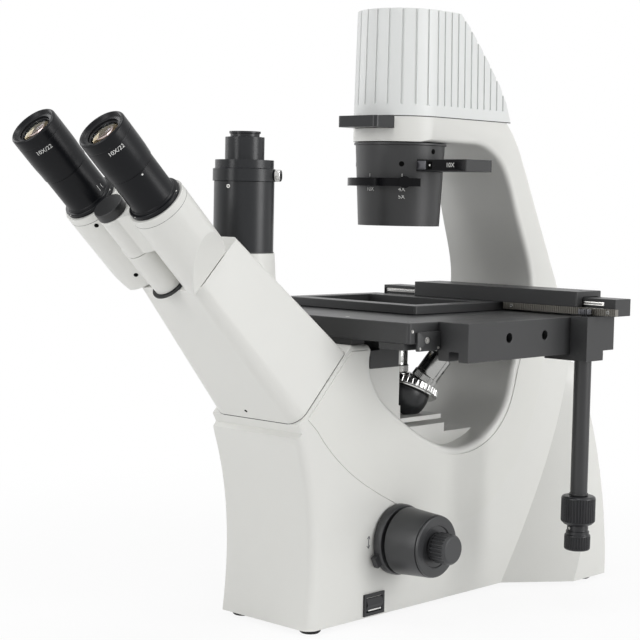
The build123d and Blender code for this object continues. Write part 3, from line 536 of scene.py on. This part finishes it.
def makeCamera():
    a, p, roll = (math.radians(view[k]) for k in ("azimuth", "pitch", "roll"))
    ahead = np.array([-math.sin(a) * math.cos(p), math.cos(a) * math.cos(p), -math.sin(p)])
    right = np.array([math.cos(a), math.sin(a), 0.0])
    up = np.cross(right, ahead)
    tiltedRight = right * math.cos(roll) - up * math.sin(roll)
    tiltedUp = right * math.sin(roll) + up * math.cos(roll)
    lens = bpy.data.cameras.new("camera")
    lens.lens, lens.sensor_width = view["lens"], view["sensor"]
    lens.clip_start, lens.clip_end = view["near"], view["far"]
    camera = bpy.data.objects.new("camera", lens)
    scene.collection.objects.link(camera)
    camera.matrix_world = frameMatrix([tiltedRight, tiltedUp, -ahead], view["spot"])
    scene.camera = camera


makeCamera()
whiteWorld()
paleFloor()
softLamps()
print("studio made")

# CAD nodes that keep their shape: finish, and radius of the edges
keptShapes = {
    "stand_casting": ("shellPaint", 0.6), "side_cover_right": ("coverPaint", 0.5),
    "side_cover_left": ("coverPaint", 0.5), "base_plate": ("blackMatt", 0.4),
    "rubber_feet": ("gripRubber", 0.4), "observation_neck": ("shellPaint", 0.8),
    "relay_mirror": ("silvered", 0.0), "tube_lens": ("clearLens", 0.0),
    "trinocular_tube": ("portBlack", 0.5), "camera_adapter": ("portBlack", 0.35),
    "hinge_pin": ("blackAnodise", 0.6), "lamp_housing": ("lampPaint", 0.35),
    "lamp_holder": ("blackAnodise", 0.4), "collector_lens": ("clearLens", 0.0),
    "halogen_lamp": ("clearLens", 0.3), "field_lens": ("clearLens", 0.0),
    "condenser_body": ("blackAnodise", 0.4), "condenser_lens": ("coatedLens", 0.0),
    "stage_plate": ("blackAnodise", 0.8), "stage_insert": ("blackAnodise", 0.3),
    "stage_brackets": ("blackAnodise", 0.4), "stage_side_bar": ("blackAnodise", 0.6),
    "shaft_bushes": ("blackAnodise", 0.3), "switch_bezel": ("blackMatt", 0.4),
    "power_inlet": ("blackMatt", 0.4), "filter_tray": ("blackSatin", 0.6), "blue_filter": ("blueGlass", 0.2),
    "aperture_lever": ("leverBlack", 0.5), "phase_slider": ("blackAnodise", 0.4),
    "y_carriage": ("blackAnodise", 0.5), "x_rail": ("blackAnodise", 0.4),
    "x_carriage": ("blackAnodise", 0.5), "x_rack": ("rackSteel", 0.0),
    "specimen_frame": ("blackAnodise", 0.6), "stage_rod": ("blackAnodise", 0.3),
    "focus_slide": ("shellPaint", 0.3), "nosepiece_dome": ("blackSatin", 0.4),
    "coarse_shaft": ("satinSteel", 0.0), "fine_shaft": ("satinSteel", 0.0),
    "tension_ring": ("knobGrey", 0.4), "prism_housing_right": ("shellPaint", 0.9),
    "prism_housing_left": ("shellPaint", 0.9), "power_rocker": ("blackMatt", 0.4),
}
for node, (finish, edge) in keptShapes.items():
    softened(node, finish, edge)
carriagePlate = {"back": 107.0, "top": 227.4, "end": 91.8}
coverReach = 0.27


def shortenCarriage():
    # the lower plate's back corners move forward to the back of the drive block
    mesh = bpy.data.objects["y_carriage.shown"].data
    co = coordinates(mesh)
    corners = (co[:, 1] > carriagePlate["back"] / 1000) & (co[:, 2] < carriagePlate["top"] / 1000)
    co[corners, 1] = carriagePlate["end"] / 1000
    moveVertices(mesh, co)


def growOutline(node, reach):
    # a vertex moves along the sum of its walls' unit normals, by reach times their number over the square of
    # that sum's length, so that every wall of a plate that faces right or left steps out by reach
    mesh = bpy.data.objects[node + ".shown"].data
    normals, counts = np.zeros(len(mesh.polygons) * 3), np.zeros(len(mesh.polygons), int)
    owners = np.zeros(len(mesh.loops), int)
    mesh.polygons.foreach_get("normal", normals)
    mesh.polygons.foreach_get("loop_total", counts)
    mesh.loops.foreach_get("vertex_index", owners)
    normals = np.repeat(normals.reshape(-1, 3), counts, 0)
    wall = np.abs(normals[:, 0]) < 0.2
    total, walls = np.zeros((len(mesh.vertices), 3)), np.zeros(len(mesh.vertices))
    np.add.at(total, owners[wall], normals[wall] * [0, 1, 1])
    np.add.at(walls, owners[wall], 1)
    step = reach / 1000 * walls / np.maximum((total ** 2).sum(1), 0.2)
    moveVertices(mesh, coordinates(mesh) + total * step[:, None])


shortenCarriage()
for side in (1, -1):
    growOutline("side_cover_" + sideName(side), coverReach)
print("kept shapes finished", len(keptShapes))

# head: tubes and eyepieces
eyeShape = {"foot": 80.1, "long": 34.9, "bore": 14.6, "collar": 21.0, "tube": 18.0, "barrel": 19.0,
            "gap": 0.3, "skirt": 0.6, "reach": 37.5, "leftOut": 4.6}
collarScrews = {"angles": (-100, 20, 140), "out": 20.2, "h": 82.0}


def ocularTube(side):
    name, body = sideName(side) + "Tube", "head_" + sideName(side)
    bore, tube, collar, long = (eyeShape[k] for k in ("bore", "tube", "collar", "long"))
    turned(name,
           [(bore, 0), (collar - 0.3, 0), (collar, 0.3), (collar, 3.0), (collar - 0.5, 3.5),
            (tube + 0.9, 3.6), (tube + 0.6, 5.1), (tube, 5.3), (tube, long - 0.2), (tube - 0.2, long),
            (bore, long)], "eyeBlack", body, headPlace(side * head["tubeApart"], h=eyeShape["foot"]),
           closed=True, reach=0.2, replaced=["ocular_tube_" + sideName(side)])
    for k, angle in enumerate(collarScrews["angles"]):
        rows, spot = onBarrel(side * head["tubeApart"], collarScrews["out"], angle, collarScrews["h"])
        socketScrew(f"{name}Screw{k}", 1.5, 0.75, "satinSteel", body, alongPlace(rows[2], spot))


def eyepiece(side, lift):
    name, body, wide = sideName(side) + "Eyepiece", "eye_" + sideName(side), eyeShape["barrel"]
    top, skirt = eyeShape["reach"] + lift, eyeShape["skirt"] + lift
    place = headPlace(side * head["tubeApart"], h=eyeShape["foot"] + eyeShape["long"] + eyeShape["gap"])
    turned(name,
           [(0, 8), (11.6, 8), (11.6, -12), (14.1, -12), (14.1, 0), (wide - 0.7, 0), (wide - 0.5, 0.2),
            (wide - 0.5, skirt), (wide - 0.1, skirt + 7), (wide, skirt + 12), (wide, top - 9.4),
            (wide - 0.15, top - 9.2), (wide - 0.15, top - 8.8), (wide, top - 8.6), (wide - 0.1, top - 1.6),
            (wide - 0.6, top - 0.8), (wide - 1.6, top - 0.1), (wide - 2.4, top - 0.6),
            (wide - 4.0, top - 2.7), (12.9, top - 3.0), (12.6, top - 4.8), (11.7, top - 5.2),
            (11.7, top - 11), (8.4, top - 11.6), (8.4, 10), (0, 10)], "eyeBlack", body, place, reach=0.3,
           replaced=["eyepiece_" + sideName(side)])
    place = lifted(place, top)
    turned(name + "Lens", [(0, -7.4), (11.6, -6.6), (11.6, -5.0), (8.8, -4.1), (5.0, -3.45), (0, -3.2)],
           "coatedLens", body, place, reach=1.4)
    turned(name + "FieldLens", [(0, -12.4), (8.3, -11.8), (8.3, -10.6), (5.0, -10.0), (0, -9.8)],
           "coatedLens", body, place, reach=1.0)


ocularTube(1)
ocularTube(-1)
eyepiece(1, 0.0)
eyepiece(-1, eyeShape["leftOut"])
eyeMarks = {"size": 4.6, "lift": 0.02, "tubeSkin": 17.98, "dot": (-19, 112.6), "line": (4, 12, 91.0)}


def eyeWords(side, angle, h):
    # words bent round an eyepiece so that they read along its rim
    lettering(sideName(side) + "EyeWords", "10X/22", eyeMarks["size"], "whiteInk", "eye_" + sideName(side),
              headPlace(side * head["tubeApart"], 0, h, spin=angle),
              wrap=eyeShape["barrel"] + eyeMarks["lift"])


def dioptreMarks():
    # a dot on the right tube, and two lines on the left one, the second a turn on, lower and shorter
    angle, h = eyeMarks["dot"]
    slab("dioptreDot", 1.5, 1.5, 0.12, "whiteInk", "head_right",
         onBarrel(head["tubeApart"], eyeMarks["tubeSkin"], angle, h), corner=0.7, edge=0.05)
    eyeWords(1, -33.0, 140.2)
    eyeWords(-1, -43.0, 139.1 + eyeShape["leftOut"])
    angle, turn, h = eyeMarks["line"]
    for k in range(2):
        place = onBarrel(-head["tubeApart"], eyeMarks["tubeSkin"], angle + turn * k, h - k)
        slab(f"dioptreLine{k}", 0.35, 6.0 - 2 * k, 0.12, "whiteInk", "head_left", place, corner=0.1,
             edge=0.05)


dioptreMarks()
housing = {"radius": 23.0, "seam": 74.05, "holeAngle": -52.0, "holes": (70.3, 15.3), "hole": 1.8}
for side in (1, -1):
    r, seam = housing["radius"], housing["seam"]
    hoop(sideName(side) + "HousingSeam", r - 0.2, r + 0.03, seam - 0.15, seam + 0.15, "seamShadow",
         "head_" + sideName(side), headPlace(side * head["tubeApart"]), reach=0.02, steps=128)
# discs of painted shade at two holes in the left housing
for k, h in enumerate(housing["holes"]):
    holeShadeDisc(f"housingHoleShade{k}", housing["hole"], 0.24, "head_left",
              onBarrel(-head["tubeApart"], housing["radius"] - 0.1, housing["holeAngle"], h))
hingeCap = {"radius": 15.0, "low": 0.15, "high": 1.75}


def hingeFoot(radius, low, high):
    # the black cap under the knuckle, and the screw in its middle
    place = headPlace(0, -head["hingeDrop"])
    turned("hingeDisc", [(0, low), (radius - 0.4, low), (radius, low + 0.35), (radius, high - 0.35),
                         (radius - 0.3, high), (0, high)], "blackSatin", "stand", place, reach=0.2)
    socketScrew("hingeCapScrew", 2.2, 0.5, "satinSteel", "stand", lifted(place, -0.4), drive=0.45)


hingeFoot(**hingeCap)
neckSeam = {"half": 50.0, "low": -28.0, "high": 51.0, "soft": 13.0, "crisp": 5.0, "h": -146.4, "tall": 0.8,
            "sunk": 0.8, "proud": 0.14}


def seamSection(seam):
    # a rectangle from inside the wall to a little proud of it
    half = seam["tall"] / 2
    return [(-seam["sunk"], -half), (seam["proud"], -half), (seam["proud"], half), (-seam["sunk"], half)]


def seamRibbon():
    # four quarter arcs joined by straight runs round the neck's foot
    path, across = [], []
    for k, (side, edge, r) in enumerate(((1, "high", "crisp"), (-1, "high", "crisp"), (-1, "low", "soft"),
                                         (1, "low", "soft"))):
        r, angle = neckSeam[r], np.linspace(0, math.pi / 2, 9) + k * math.pi / 2
        middle = neckSeam[edge] + (r if edge == "low" else -r)
        across.append(np.column_stack([np.cos(angle), np.sin(angle)]))
        path.append([side * (neckSeam["half"] - r), middle] + r * across[-1])
    ribbon("neckSeam", np.concatenate(path), np.concatenate(across), seamSection(neckSeam), "seamShadow",
           headPlace(h=neckSeam["h"]), closed=True)


seamRibbon()
# a disc of painted shade at a hole in the neck
neckHoleShade = {"x": -4.6, "t": -27.28, "h": -137.5}
holeShadeDisc("neckHoleShade", 1.5, 0.24, "stand", (headRows[[0, 2, 1]] * [[1], [1], [-1]], headPlace(**neckHoleShade)[1]))
print("head made")

# camera port
port = {"tube": 24.4, "base": 313.0, "screwAngles": (-75.0, 165.0), "screwZ": 366.2}
thumb = {"shank": 1.9, "wide": 4.9, "low": 26.0, "high": 30.6}
thumbSpot = {"angle": 30.0, "z": 375.4}


def clampScrew(shank, wide, low, high):
    turned("clampScrew",
           [(0, low - 9.9), (shank, low - 9.9), (shank, low - 0.4), (3.2, low - 0.3), (3.4, low - 0.1),
            (wide - 0.1, low), (wide, low + 0.3), (wide, high - 0.5), (wide - 0.4, high),
            (3.2, high + 0.05), (0, high - 0.1)], "chromePlate", "camera_screw",
           alongPlace(compass(thumbSpot["angle"]), (0, portSpot["y"], thumbSpot["z"])), reach=0.2,
           ribs=[{"count": 36, "low": low + 0.4, "high": high - 0.6, "depth": 0.35, "floor": wide - 0.9}],
           replaced=["port_thumb_screw"])


clampScrew(**thumb)
for k, angle in enumerate(port["screwAngles"]):
    out = compass(angle)
    socketScrew(f"portScrew{k}", 1.6, 0.5, "satinSteel", "stand",
                alongPlace(out, out * (port["tube"] - 0.2) + np.array([0, portSpot["y"], port["screwZ"]])))
turned("portTrimRing",
       [(port["tube"] - 0.1, port["base"] + 0.1), (port["tube"] + 0.4, port["base"] + 0.1),
        (port["tube"] + 0.4, port["base"] + 1.0), (port["tube"] - 0.1, port["base"] + 1.2)], "blackAnodise",
       "stand", upright(0, portSpot["y"], 0), closed=True, reach=0.1)
print("camera port made")

# objectives and turret
turretShape = {"ring": 31.0, "low": 28.4, "high": 36.4, "wide": 27.5, "narrow": 7.0, "ribs": 40}
seatShape = {"bore": 9.6, "ring": 13.2, "low": 40.5, "high": 43.9}


def turretRing(ring, low, high, wide, narrow, ribs, gap=0.6):
    # the seats lie on a cone square to their axes, which sets the heights of its two edges
    lean = math.radians(turretSpot["lean"])
    rise, outward = turretSpot["seat"] * math.cos(lean), turretSpot["seat"] * math.sin(lean)
    top = rise + (outward - narrow) * math.tan(lean) + gap
    edge = rise - (wide - outward) * math.tan(lean) + gap
    turned("turretRing",
           [(0, low), (ring - 2.4, low), (ring - 2.1, low + 0.2), (ring - 1.7, low + 1.2),
            (ring - 0.5, low + 1.4), (ring, low + 1.7), (ring, high - 0.5), (ring - 0.5, high - 0.1),
            (ring - 2.3, high), (ring - 2.5, edge - 0.5), (wide + 0.1, edge), (narrow, top),
            (3.4, top + 0.2), (3.2, top - 1.2), (0, top - 1.2)], "chromePlate", "turret", turretPlace(),
           steps=320, reach=0.25,
           ribs=[{"count": ribs, "low": low + 1.9, "high": high - 0.7, "depth": 0.75, "floor": ring - 1.5,
                  "crisp": 4.0, "bias": -0.45, "fine": 10}], replaced=["nosepiece_turret"])


def turretSeat(index, bore, ring, low, high):
    turned(f"turretSeat{index}",
           [(bore, low), (ring - 0.2, low), (ring, low + 0.3), (ring, high - 0.3), (ring - 0.3, high),
            (bore, high)], "chromePlate", "turret", turretPlace(index), closed=True, reach=0.2)


objectives = {
    "objective_10x": {"index": 0, "long": 41.0, "nose": 4.8, "shoulder": 20, "band": "yellowInk",
                      "words": "10X"},
    "objective_20x": {"index": 1, "long": 41.5, "nose": 4.2, "shoulder": 27, "band": "greenInk",
                      "words": "20X"},
    "objective_40x": {"index": 2, "long": 42.5, "nose": 3.6, "shoulder": 31, "band": "blueInk",
                      "words": "40X", "finish": "blackSatin"},
    "objective_4x": {"index": 3, "long": 32.0, "nose": 7.4, "shoulder": 14, "band": "redInk", "words": "4X",
                     "finish": "blackSatin"},
}
objectiveBody = {"bore": 7.2, "grip": 12.0, "barrel": 11.2, "front": 9.4}
objectiveWords = {"size": 4.2, "spin": -60, "lift": 0.04}


def objectiveLens(node, o, bore, grip, barrel, front):
    name, nose, tip, step = node.replace("_", "."), o["nose"], o["long"], o["shoulder"]
    wall = nose - 1.6
    place = lifted(turretPlace(o["index"], spin=objectiveWords["spin"]), turretSpot["seat"])
    turned(name,
           [(bore, 0.2), (grip - 0.4, 0.2), (grip, 0.5), (grip, 6.6), (grip - 0.4, 7.0), (barrel, 7.1),
            (barrel - 0.1, 9.4), (barrel, 9.6), (barrel, step), (front + 0.2, step + 1.9),
            (front, step + 2.2), (front, tip - 8.0), (front - 0.5, tip - 7.2), (nose + 0.2, tip - 0.4),
            (nose, tip), (nose - 1.4, tip), (wall, tip - 1.0), (bore if nose > bore else wall, tip - 9)],
           o.get("finish", "lensSteel"), "turret", place, closed=True, reach=0.3, steps=192,
           ribs=[{"count": 48, "low": 1.0, "high": 6.2, "depth": 0.3, "floor": grip - 0.7, "fine": 6}],
           replaced=[node])
    turned(name + ".glass",
           [(0, tip - 2.4), (wall - 0.1, tip - 2.2), (wall - 0.1, tip - 1.2), (0, tip - 0.9)], "coatedLens",
           "turret", place, reach=0.3, steps=64)
    hoop(name + ".band", front - 0.2, front + 0.06, tip - 10, tip - 8.8, o["band"], "turret", place,
         reach=0.03)
    lettering(name + ".size", o["words"], objectiveWords["size"], "seamShadow", "turret",
              lifted(place, (9.6 + step - 4) / 2), wrap=barrel + objectiveWords["lift"])


turretRing(**turretShape)
for index in range(4):
    turretSeat(index, **seatShape)
for node, o in objectives.items():
    objectiveLens(node, o, **objectiveBody)
print("turret made")

# focus drive
coarse = {"bore": 3.3, "foot": 26.2, "wide": 29.0, "rim": 26.5, "well": 17.5}
fine = {"radius": 13.2, "cap": 12.0, "ribs": 24}
knobSpan = {"inner": 61.0, "outer": 97.0}


def coarseKnob(side, place, bore, foot, wide, rim, well):
    turned(sideName(side) + "Coarse",
           [(bore, 0.1), (foot, 0.1), (foot, 2.0), (wide - 0.3, 2.2), (wide, 2.6), (wide - 0.3, 5.0),
            (wide - 1.4, 19.0), (rim + 0.2, 33.2), (rim - 1.1, 33.4), (rim - 1.1, 34.1), (rim, 34.3),
            (rim - 0.5, 35.8), (rim - 1.1, 36.0), (well + 0.9, 36.0), (well + 0.3, 35.6), (well, 34.6),
            (bore, 34.6)],
           "knobGrey", "coarse_drive", place, closed=True, steps=144, reach=0.3,
           replaced=["coarse_knob_" + sideName(side)])


def fineKnob(side, place, radius, cap, ribs):
    turned(sideName(side) + "Fine",
           [(0, -0.9), (cap - 0.4, -0.9), (cap, -0.6), (cap, 1.6), (radius - 0.3, 2.0), (radius, 2.6),
            (radius, 14.6), (radius - 0.5, 15.8), (cap, 16.6), (cap - 0.6, 17.4), (cap - 1.4, 17.6),
            (0, 17.4)],
           "knobGrey", "fine_drive", place,
           ribs=[{"count": ribs, "low": 1.9, "high": 15.4, "depth": 1.5, "floor": cap + 0.1, "bias": -0.1,
                  "crisp": 1.6}], replaced=["fine_knob_" + sideName(side)])


for side in (1, -1):
    axis = sidePlace(side, focusSpot["y"], focusSpot["z"])
    coarseKnob(side, lifted(axis, knobSpan["inner"]), **coarse)
    fineKnob(side, lifted(axis, knobSpan["outer"]), **fine)
arrow = {"radius": 35.5, "from": 169.0, "to": 186.0, "width": 0.8, "barb": 3.2, "lean": 35, "skin": 51.1,
         "proud": 0.22}


def turnArrow():
    # a short arc with a barb at each end, printed on the side as a ribbon along the arc
    angle, half = np.radians(np.linspace(arrow["from"], arrow["to"], 15)), arrow["width"] / 2
    across = np.column_stack([np.cos(angle), np.sin(angle)])
    start = np.array([arrow["skin"], focusSpot["y"], focusSpot["z"]])
    ribbon("turnArrow", arrow["radius"] * across, across,
           [(-half, 0), (-half, arrow["proud"]), (half, arrow["proud"]), (half, 0)], "greyInk",
           (facingRight, start))
    for k, (end, way, lean) in enumerate((("from", 1, 1), ("from", 1, -1), ("to", -1, 1), ("to", -1, -1))):
        point = start + turnAbout("x", arrow[end])[1] * arrow["radius"] + facingRight[2] * 0.02
        along = turnAbout("x", arrow[end] + 90 + lean * arrow["lean"])[1] * way
        rows = np.array([along, np.cross(facingRight[2], along), facingRight[2]])
        slab(f"turnArrowBarb{k}", arrow["barb"], 0.7, 0.2, "greyInk", "stand",
             (rows, point + along * arrow["barb"] / 2), corner=0.2, edge=0.05)


turnArrow()
print("focus drive made")

# coaxial stage drive
drive = {"x": 149.5, "y": 76.7, "lowY": 77.7, "lowX": 54.9, "screw": -108, "screwOut": 8.9, "screwZ": 74.6}
knobY = {"wide": 15.0, "high": 25.3, "tube": 4.7, "bore": 3.0, "top": 162.3, "ribs": 36}
knobX = {"wide": 11.4, "rod": 2.6, "top": 212.1, "pinion": 5.6, "ribs": 30, "teeth": 18}


def stageKnobY(place, wide, high, tube, bore, top, ribs):
    turned("stageKnobY",
           [(bore, 0), (wide - 3.4, 0), (wide - 2.6, 0.3), (wide - 0.4, 2.5), (wide, 3.3),
            (wide, high - 2.2), (wide - 0.4, high - 1.0), (wide - 1.6, high - 0.1), (wide - 4.0, high),
            (tube, high), (tube, top), (bore, top)], "blackMatt", "y_drive", place, closed=True, reach=0.4,
           ribs=[{"count": ribs, "low": 2.9, "high": high - 2.1, "depth": 0.8, "floor": wide - 1,
                  "bias": -0.2}], replaced=["stage_knob_y"])


def stageKnobX(place, wide, rod, top, pinion, ribs, teeth):
    turned("stageKnobX",
           [(0, 0), (wide - 2.0, 0), (wide - 0.6, 0.6), (wide, 1.7), (wide, 12.9), (wide - 0.4, 13.7),
            (wide - 1.2, 14.5), (wide - 1.2, 16.9), (wide - 2.2, 17.3), (wide - 2.2, 22.3), (rod, 22.4),
            (rod, top - 5.0), (pinion - 0.6, top - 4.9), (pinion - 0.6, top - 0.1), (rod, top), (0, top)],
           "blackMatt", "x_drive", place,
           ribs=[{"count": ribs, "low": 1.9, "high": 12.7, "depth": 0.7, "floor": wide - 0.8, "bias": -0.2}],
           replaced=["stage_knob_x"])
    low, high = top - 4.7, top - 0.2
    hoop("xPinion", rod - 0.1, pinion, low, high, "darkSteel", "x_drive", place, reach=0.15,
         ribs=[{"count": teeth, "low": low, "high": high, "depth": 0.8, "floor": pinion - 0.6,
                "crisp": 1.6}])


def stageDrive():
    place, out = upright(drive["x"], drive["y"]), compass(drive["screw"])
    stageKnobY(lifted(place, drive["lowY"]), **knobY)
    stageKnobX(lifted(place, drive["lowX"]), **knobX)
    socketScrew("stageKnobScrew", 1.3, 0.5, "satinSteel", "x_drive",
                alongPlace(out, lifted(place, drive["screwZ"])[1] + out * drive["screwOut"]))
    turned("rodCollar", [(7.4, 103.4), (8.2, 103.4), (8.2, 105.2), (7.4, 105.4)], "blackAnodise", "stage_y",
           place, closed=True, reach=0.15)


stageDrive()
print("stage drive made")

# stage fittings
stage = {"top": 259.5, "screws": ((-100, -102), (100, -102), (-100, 112), (96, 60)), "pin": (31.2, -99.4)}
bar = {"holes": (-21.0, 29.4), "z": 245.7, "floor": 117.2}
rail = {"low": 260.6, "left": -95.0, "right": 171.0, "front": 92.0, "back": 116.0, "inset": 2.0}
strip = {"short": 14.5, "shift": -5.5, "up": 10.4, "tall": 3.6, "thick": 0.7, "race": 124.0}


def bearingStrip(name, y, facing):
    # a steel strip in the rail's groove, with a wire race along its middle
    start = np.array([(rail["left"] + rail["right"]) / 2 + strip["shift"], y, rail["low"] + strip["up"]])
    slab(name, rail["right"] - rail["left"] - strip["short"], strip["tall"], strip["thick"], "satinSteel",
         "stage_y", (facingFront, start + facingFront[2] * (0 if facing < 0 else -strip["thick"])),
         corner=0.4, edge=0.15)
    r, half = 0.7, strip["race"]
    turned(name + "Race", [(0, -half), (r, -half), (r, half), (0, half)], "chromePlate", "stage_y",
           (facingRight, start + np.array([0, facing * 0.65, 0])), steps=16, reach=0.2)


for k, y in enumerate(bar["holes"]):
    socketScrew(f"barScrew{k}", 3.85, 2.4, "darkSteel", "stand", sidePlace(1, y, bar["z"], x=bar["floor"]),
                drive=0.55)
bearingStrip("frontStrip", rail["front"] + rail["inset"], -1)
bearingStrip("backStrip", rail["back"] - rail["inset"], 1)
rack = {"screws": (66.0, 169.0), "front": 83.0, "z": 264.5}
for k, x in enumerate(rack["screws"]):
    socketScrew(f"rackScrew{k}", 1.6, 0.5, "chromePlate", "stage_x",
                (facingFront, np.array([x, rack["front"], rack["z"]])))
holder = {"x": -25.0, "y": 22.25, "top": 267.4,
          "screws": ((-60, 46.8), (60, 46.8), (-60, -47.0), (60, -47.0))}
for k, (dx, dy) in enumerate(holder["screws"]):
    socketScrew(f"frameScrew{k}", 1.6, 0.25, "darkSteel", "stage_x",
                upright(holder["x"] + dx, holder["y"] + dy, holder["top"]))
carriage = {"screws": (-40.0, 44.0, 128.0), "y": 102.0, "top": 280.9}
for k, x in enumerate(carriage["screws"]):
    socketScrew(f"carriageScrew{k}", 2.0, 0.3, "darkSteel", "stage_x",
                upright(x, carriage["y"], carriage["top"]), drive=0.55)
for k, (x, y) in enumerate(stage["screws"]):
    socketScrew(f"plateScrew{k}", 2.6, 0.25, "darkSteel", "stand", upright(x, y, stage["top"] - 0.15))
barBracket = {"skin": 110.95, "out": 2.6, "front": -105.0, "back": -76.4, "low": 236.4, "high": 252.0,
              "screw": (-93.9, 245.2, 113.4),
              "pins": ((-109.3, 252.7, 110.95, 1.5), (-102.3, 238.6, 113.45, 1.2),
                       (-79.0, 238.6, 113.45, 1.2))}


def bracketFittings(skin, out, front, back, low, high, screw, pins):
    slab("barBracket", back - front, high - low, out, "blackAnodise", "stand",
         (facingRight, np.array([skin, (front + back) / 2, (low + high) / 2])), corner=0.8)
    socketScrew("barBracketScrew", 2.6, 1.0, "satinSteel", "stand", sidePlace(1, *screw))
    for k, (y, z, x, r) in enumerate(pins):
        socketScrew(f"bracketPin{k}", r, 0.35, "satinSteel", "stand", sidePlace(1, y, z, x))


bracketFittings(**barBracket)
socketScrew("topPin", 1.7, 0.15, "satinSteel", "stand", upright(*stage["pin"], stage["top"] - 0.05),
            drive=0.6)
turned("insertRim", [(15.7, 256.6), (16.4, 256.6), (16.4, 259.7), (16.0, 259.8), (15.7, 259.5)],
       "satinSteel", "stand", upright(), closed=True, reach=0.1)
print("stage fittings made")

# condenser marks, screws and the lamp arm
cup = {"top": (406.0, 39.8), "bottom": (335.4, 36.3), "size": 5.0, "lift": 0.02, "stroke": 379.4,
       "words": (("mark10", "10X", 367.3, -91.8), ("mark4", "4X", 367.3, -46.3),
                 ("mark5", "5X", 360.9, -46.3)),
       "holes": ((389.5, -47.2), (400.9, -2.4), (389.5, -140.0), (389.5, 100.0)), "hole": 2.3}


def cupRadius(z):
    (z1, r1), (z0, r0) = cup["top"], cup["bottom"]
    return r0 + (r1 - r0) * (z - z0) / (z1 - z0)


def onCup(z, angle, lift=0.0):
    out = compass(angle)
    return alongPlace(out, out * (cupRadius(z) + lift) + np.array([0, 0, z]))


for name, words, z, angle in cup["words"]:
    lettering(name, words, cup["size"], "whiteInk", "stand", upright(0, 0, z, spin=angle),
              wrap=cupRadius(z) + cup["lift"])
for k, (_, _, _, angle) in enumerate(cup["words"][:2]):
    slab(f"cupMark{k}", 0.5, 3.0, 0.12, "whiteInk", "stand", onCup(cup["stroke"], angle), corner=0.15,
         edge=0.05)
# discs of painted shade at the holes in the condenser cup
for k, (z, angle) in enumerate(cup["holes"]):
    holeShadeDisc(f"cupHoleShade{k}", cup["hole"], 0.22, "stand", onCup(z, angle, -0.1))
# the third plate, sliderTarget, is near-black in the painted hole shade finish
slider = {"front": -17.5, "z": 388.6, "number": 71.5, "size": 5.4, "dot": 49.0, "rings": 3, "apart": 31.0,
          "plates": (("sliderPlate", 33.0, 88.0, 9.4, 0.12, "leverBlack"),
                     ("sliderLight", 34.2, 44.6, 7.6, 0.22, "darkSteel"),
                     ("sliderTarget", 46.4, 51.6, 6.6, 0.2, "paintedHoleShade"))}


def onSlider(x, lift):
    return facingFront, np.array([x, slider["front"] - lift, slider["z"]])


lettering("sliderNumber", "10X", slider["size"], "whiteInk", "phase_slide", onSlider(slider["number"], 0.12))
for name, low, high, tall, out, finish in slider["plates"]:
    slab(name, high - low, tall, out, finish, "phase_slide", onSlider((low + high) / 2, -0.02), corner=0.5,
         edge=0.04)
turned("sliderDot", [(0, 0), (0.9, 0), (0.9, 0.1), (0, 0.1)], "whiteInk", "phase_slide",
       onSlider(slider["dot"], 0.17), steps=32, reach=0.02)
for k in range(slider["rings"]):
    hoop(f"phaseRing{k}", 9.2, 11.95, 386.6, 390.6, "darkSteel", "phase_slide", upright(slider["apart"] * k),
         reach=0.3)
lampSeam = {"half": 42.0, "back": 106.0, "z": 431.0, "tall": 0.8, "sunk": 0.06, "proud": 0.1}


def armSeam():
    # a thin ribbon along half a circle and two straight sides
    turn = np.linspace(math.pi, 2 * math.pi, 65)
    across = np.concatenate([[(-1.0, 0.0)], np.column_stack([np.cos(turn), np.sin(turn)]), [(1.0, 0.0)]])
    path = lampSeam["half"] * across
    path[[0, -1], 1] = lampSeam["back"]
    ribbon("armSeam", path, across, seamSection(lampSeam), "seamShadow", upright(z=lampSeam["z"]))


armSeam()
turned("condenserRim", [(36.2, 335.5), (33.4, 335.5), (33.2, 336.0), (33.2, 337.0), (36.2, 337.0)],
       "blackAnodise", "stand", upright(), closed=True, reach=0.2)
rocker = {"spot": (52.9, -81.0, 10.4), "rows": ((0, 1, 0), (-0.2, 0, 0.98), (0.98, 0, 0.2))}
slab("rockerLine", 16.4, 1.1, 0.15, "whiteInk", "rocker",
     (np.array(rocker["rows"]), np.array(rocker["spot"])), corner=0.3, edge=0.05)
dial = {"radius": 11.0, "high": 7.5, "ribs": 30, "mark": 5.0}
dialSpot = {"side": -1, "y": -81.0, "z": 18.0, "x": -52.5}


def brightnessDial(place, radius, high, ribs, mark):
    turned("brightnessDial",
           [(0, 0), (radius - 0.6, 0), (radius, 0.4), (radius, high - 0.8), (radius - 0.6, high),
            (radius - 2.4, high + 0.1), (radius - 2.8, high - 0.3), (0, high - 0.5)], "blackMatt", "dial",
           place, reach=0.3,
           ribs=[{"count": ribs, "low": 0.7, "high": high - 0.6, "depth": 0.6, "floor": radius - 1,
                  "bias": -0.2}], replaced=["brightness_dial"])
    rows, start = lifted(place, high - 0.55)
    slab("dialMark", 0.8, 4, 0.15, "whiteInk", "dial", (rows, start + rows[1] * mark), corner=0.2, edge=0.05)


brightnessDial(sidePlace(**dialSpot), **dial)
print("marks and fittings made")
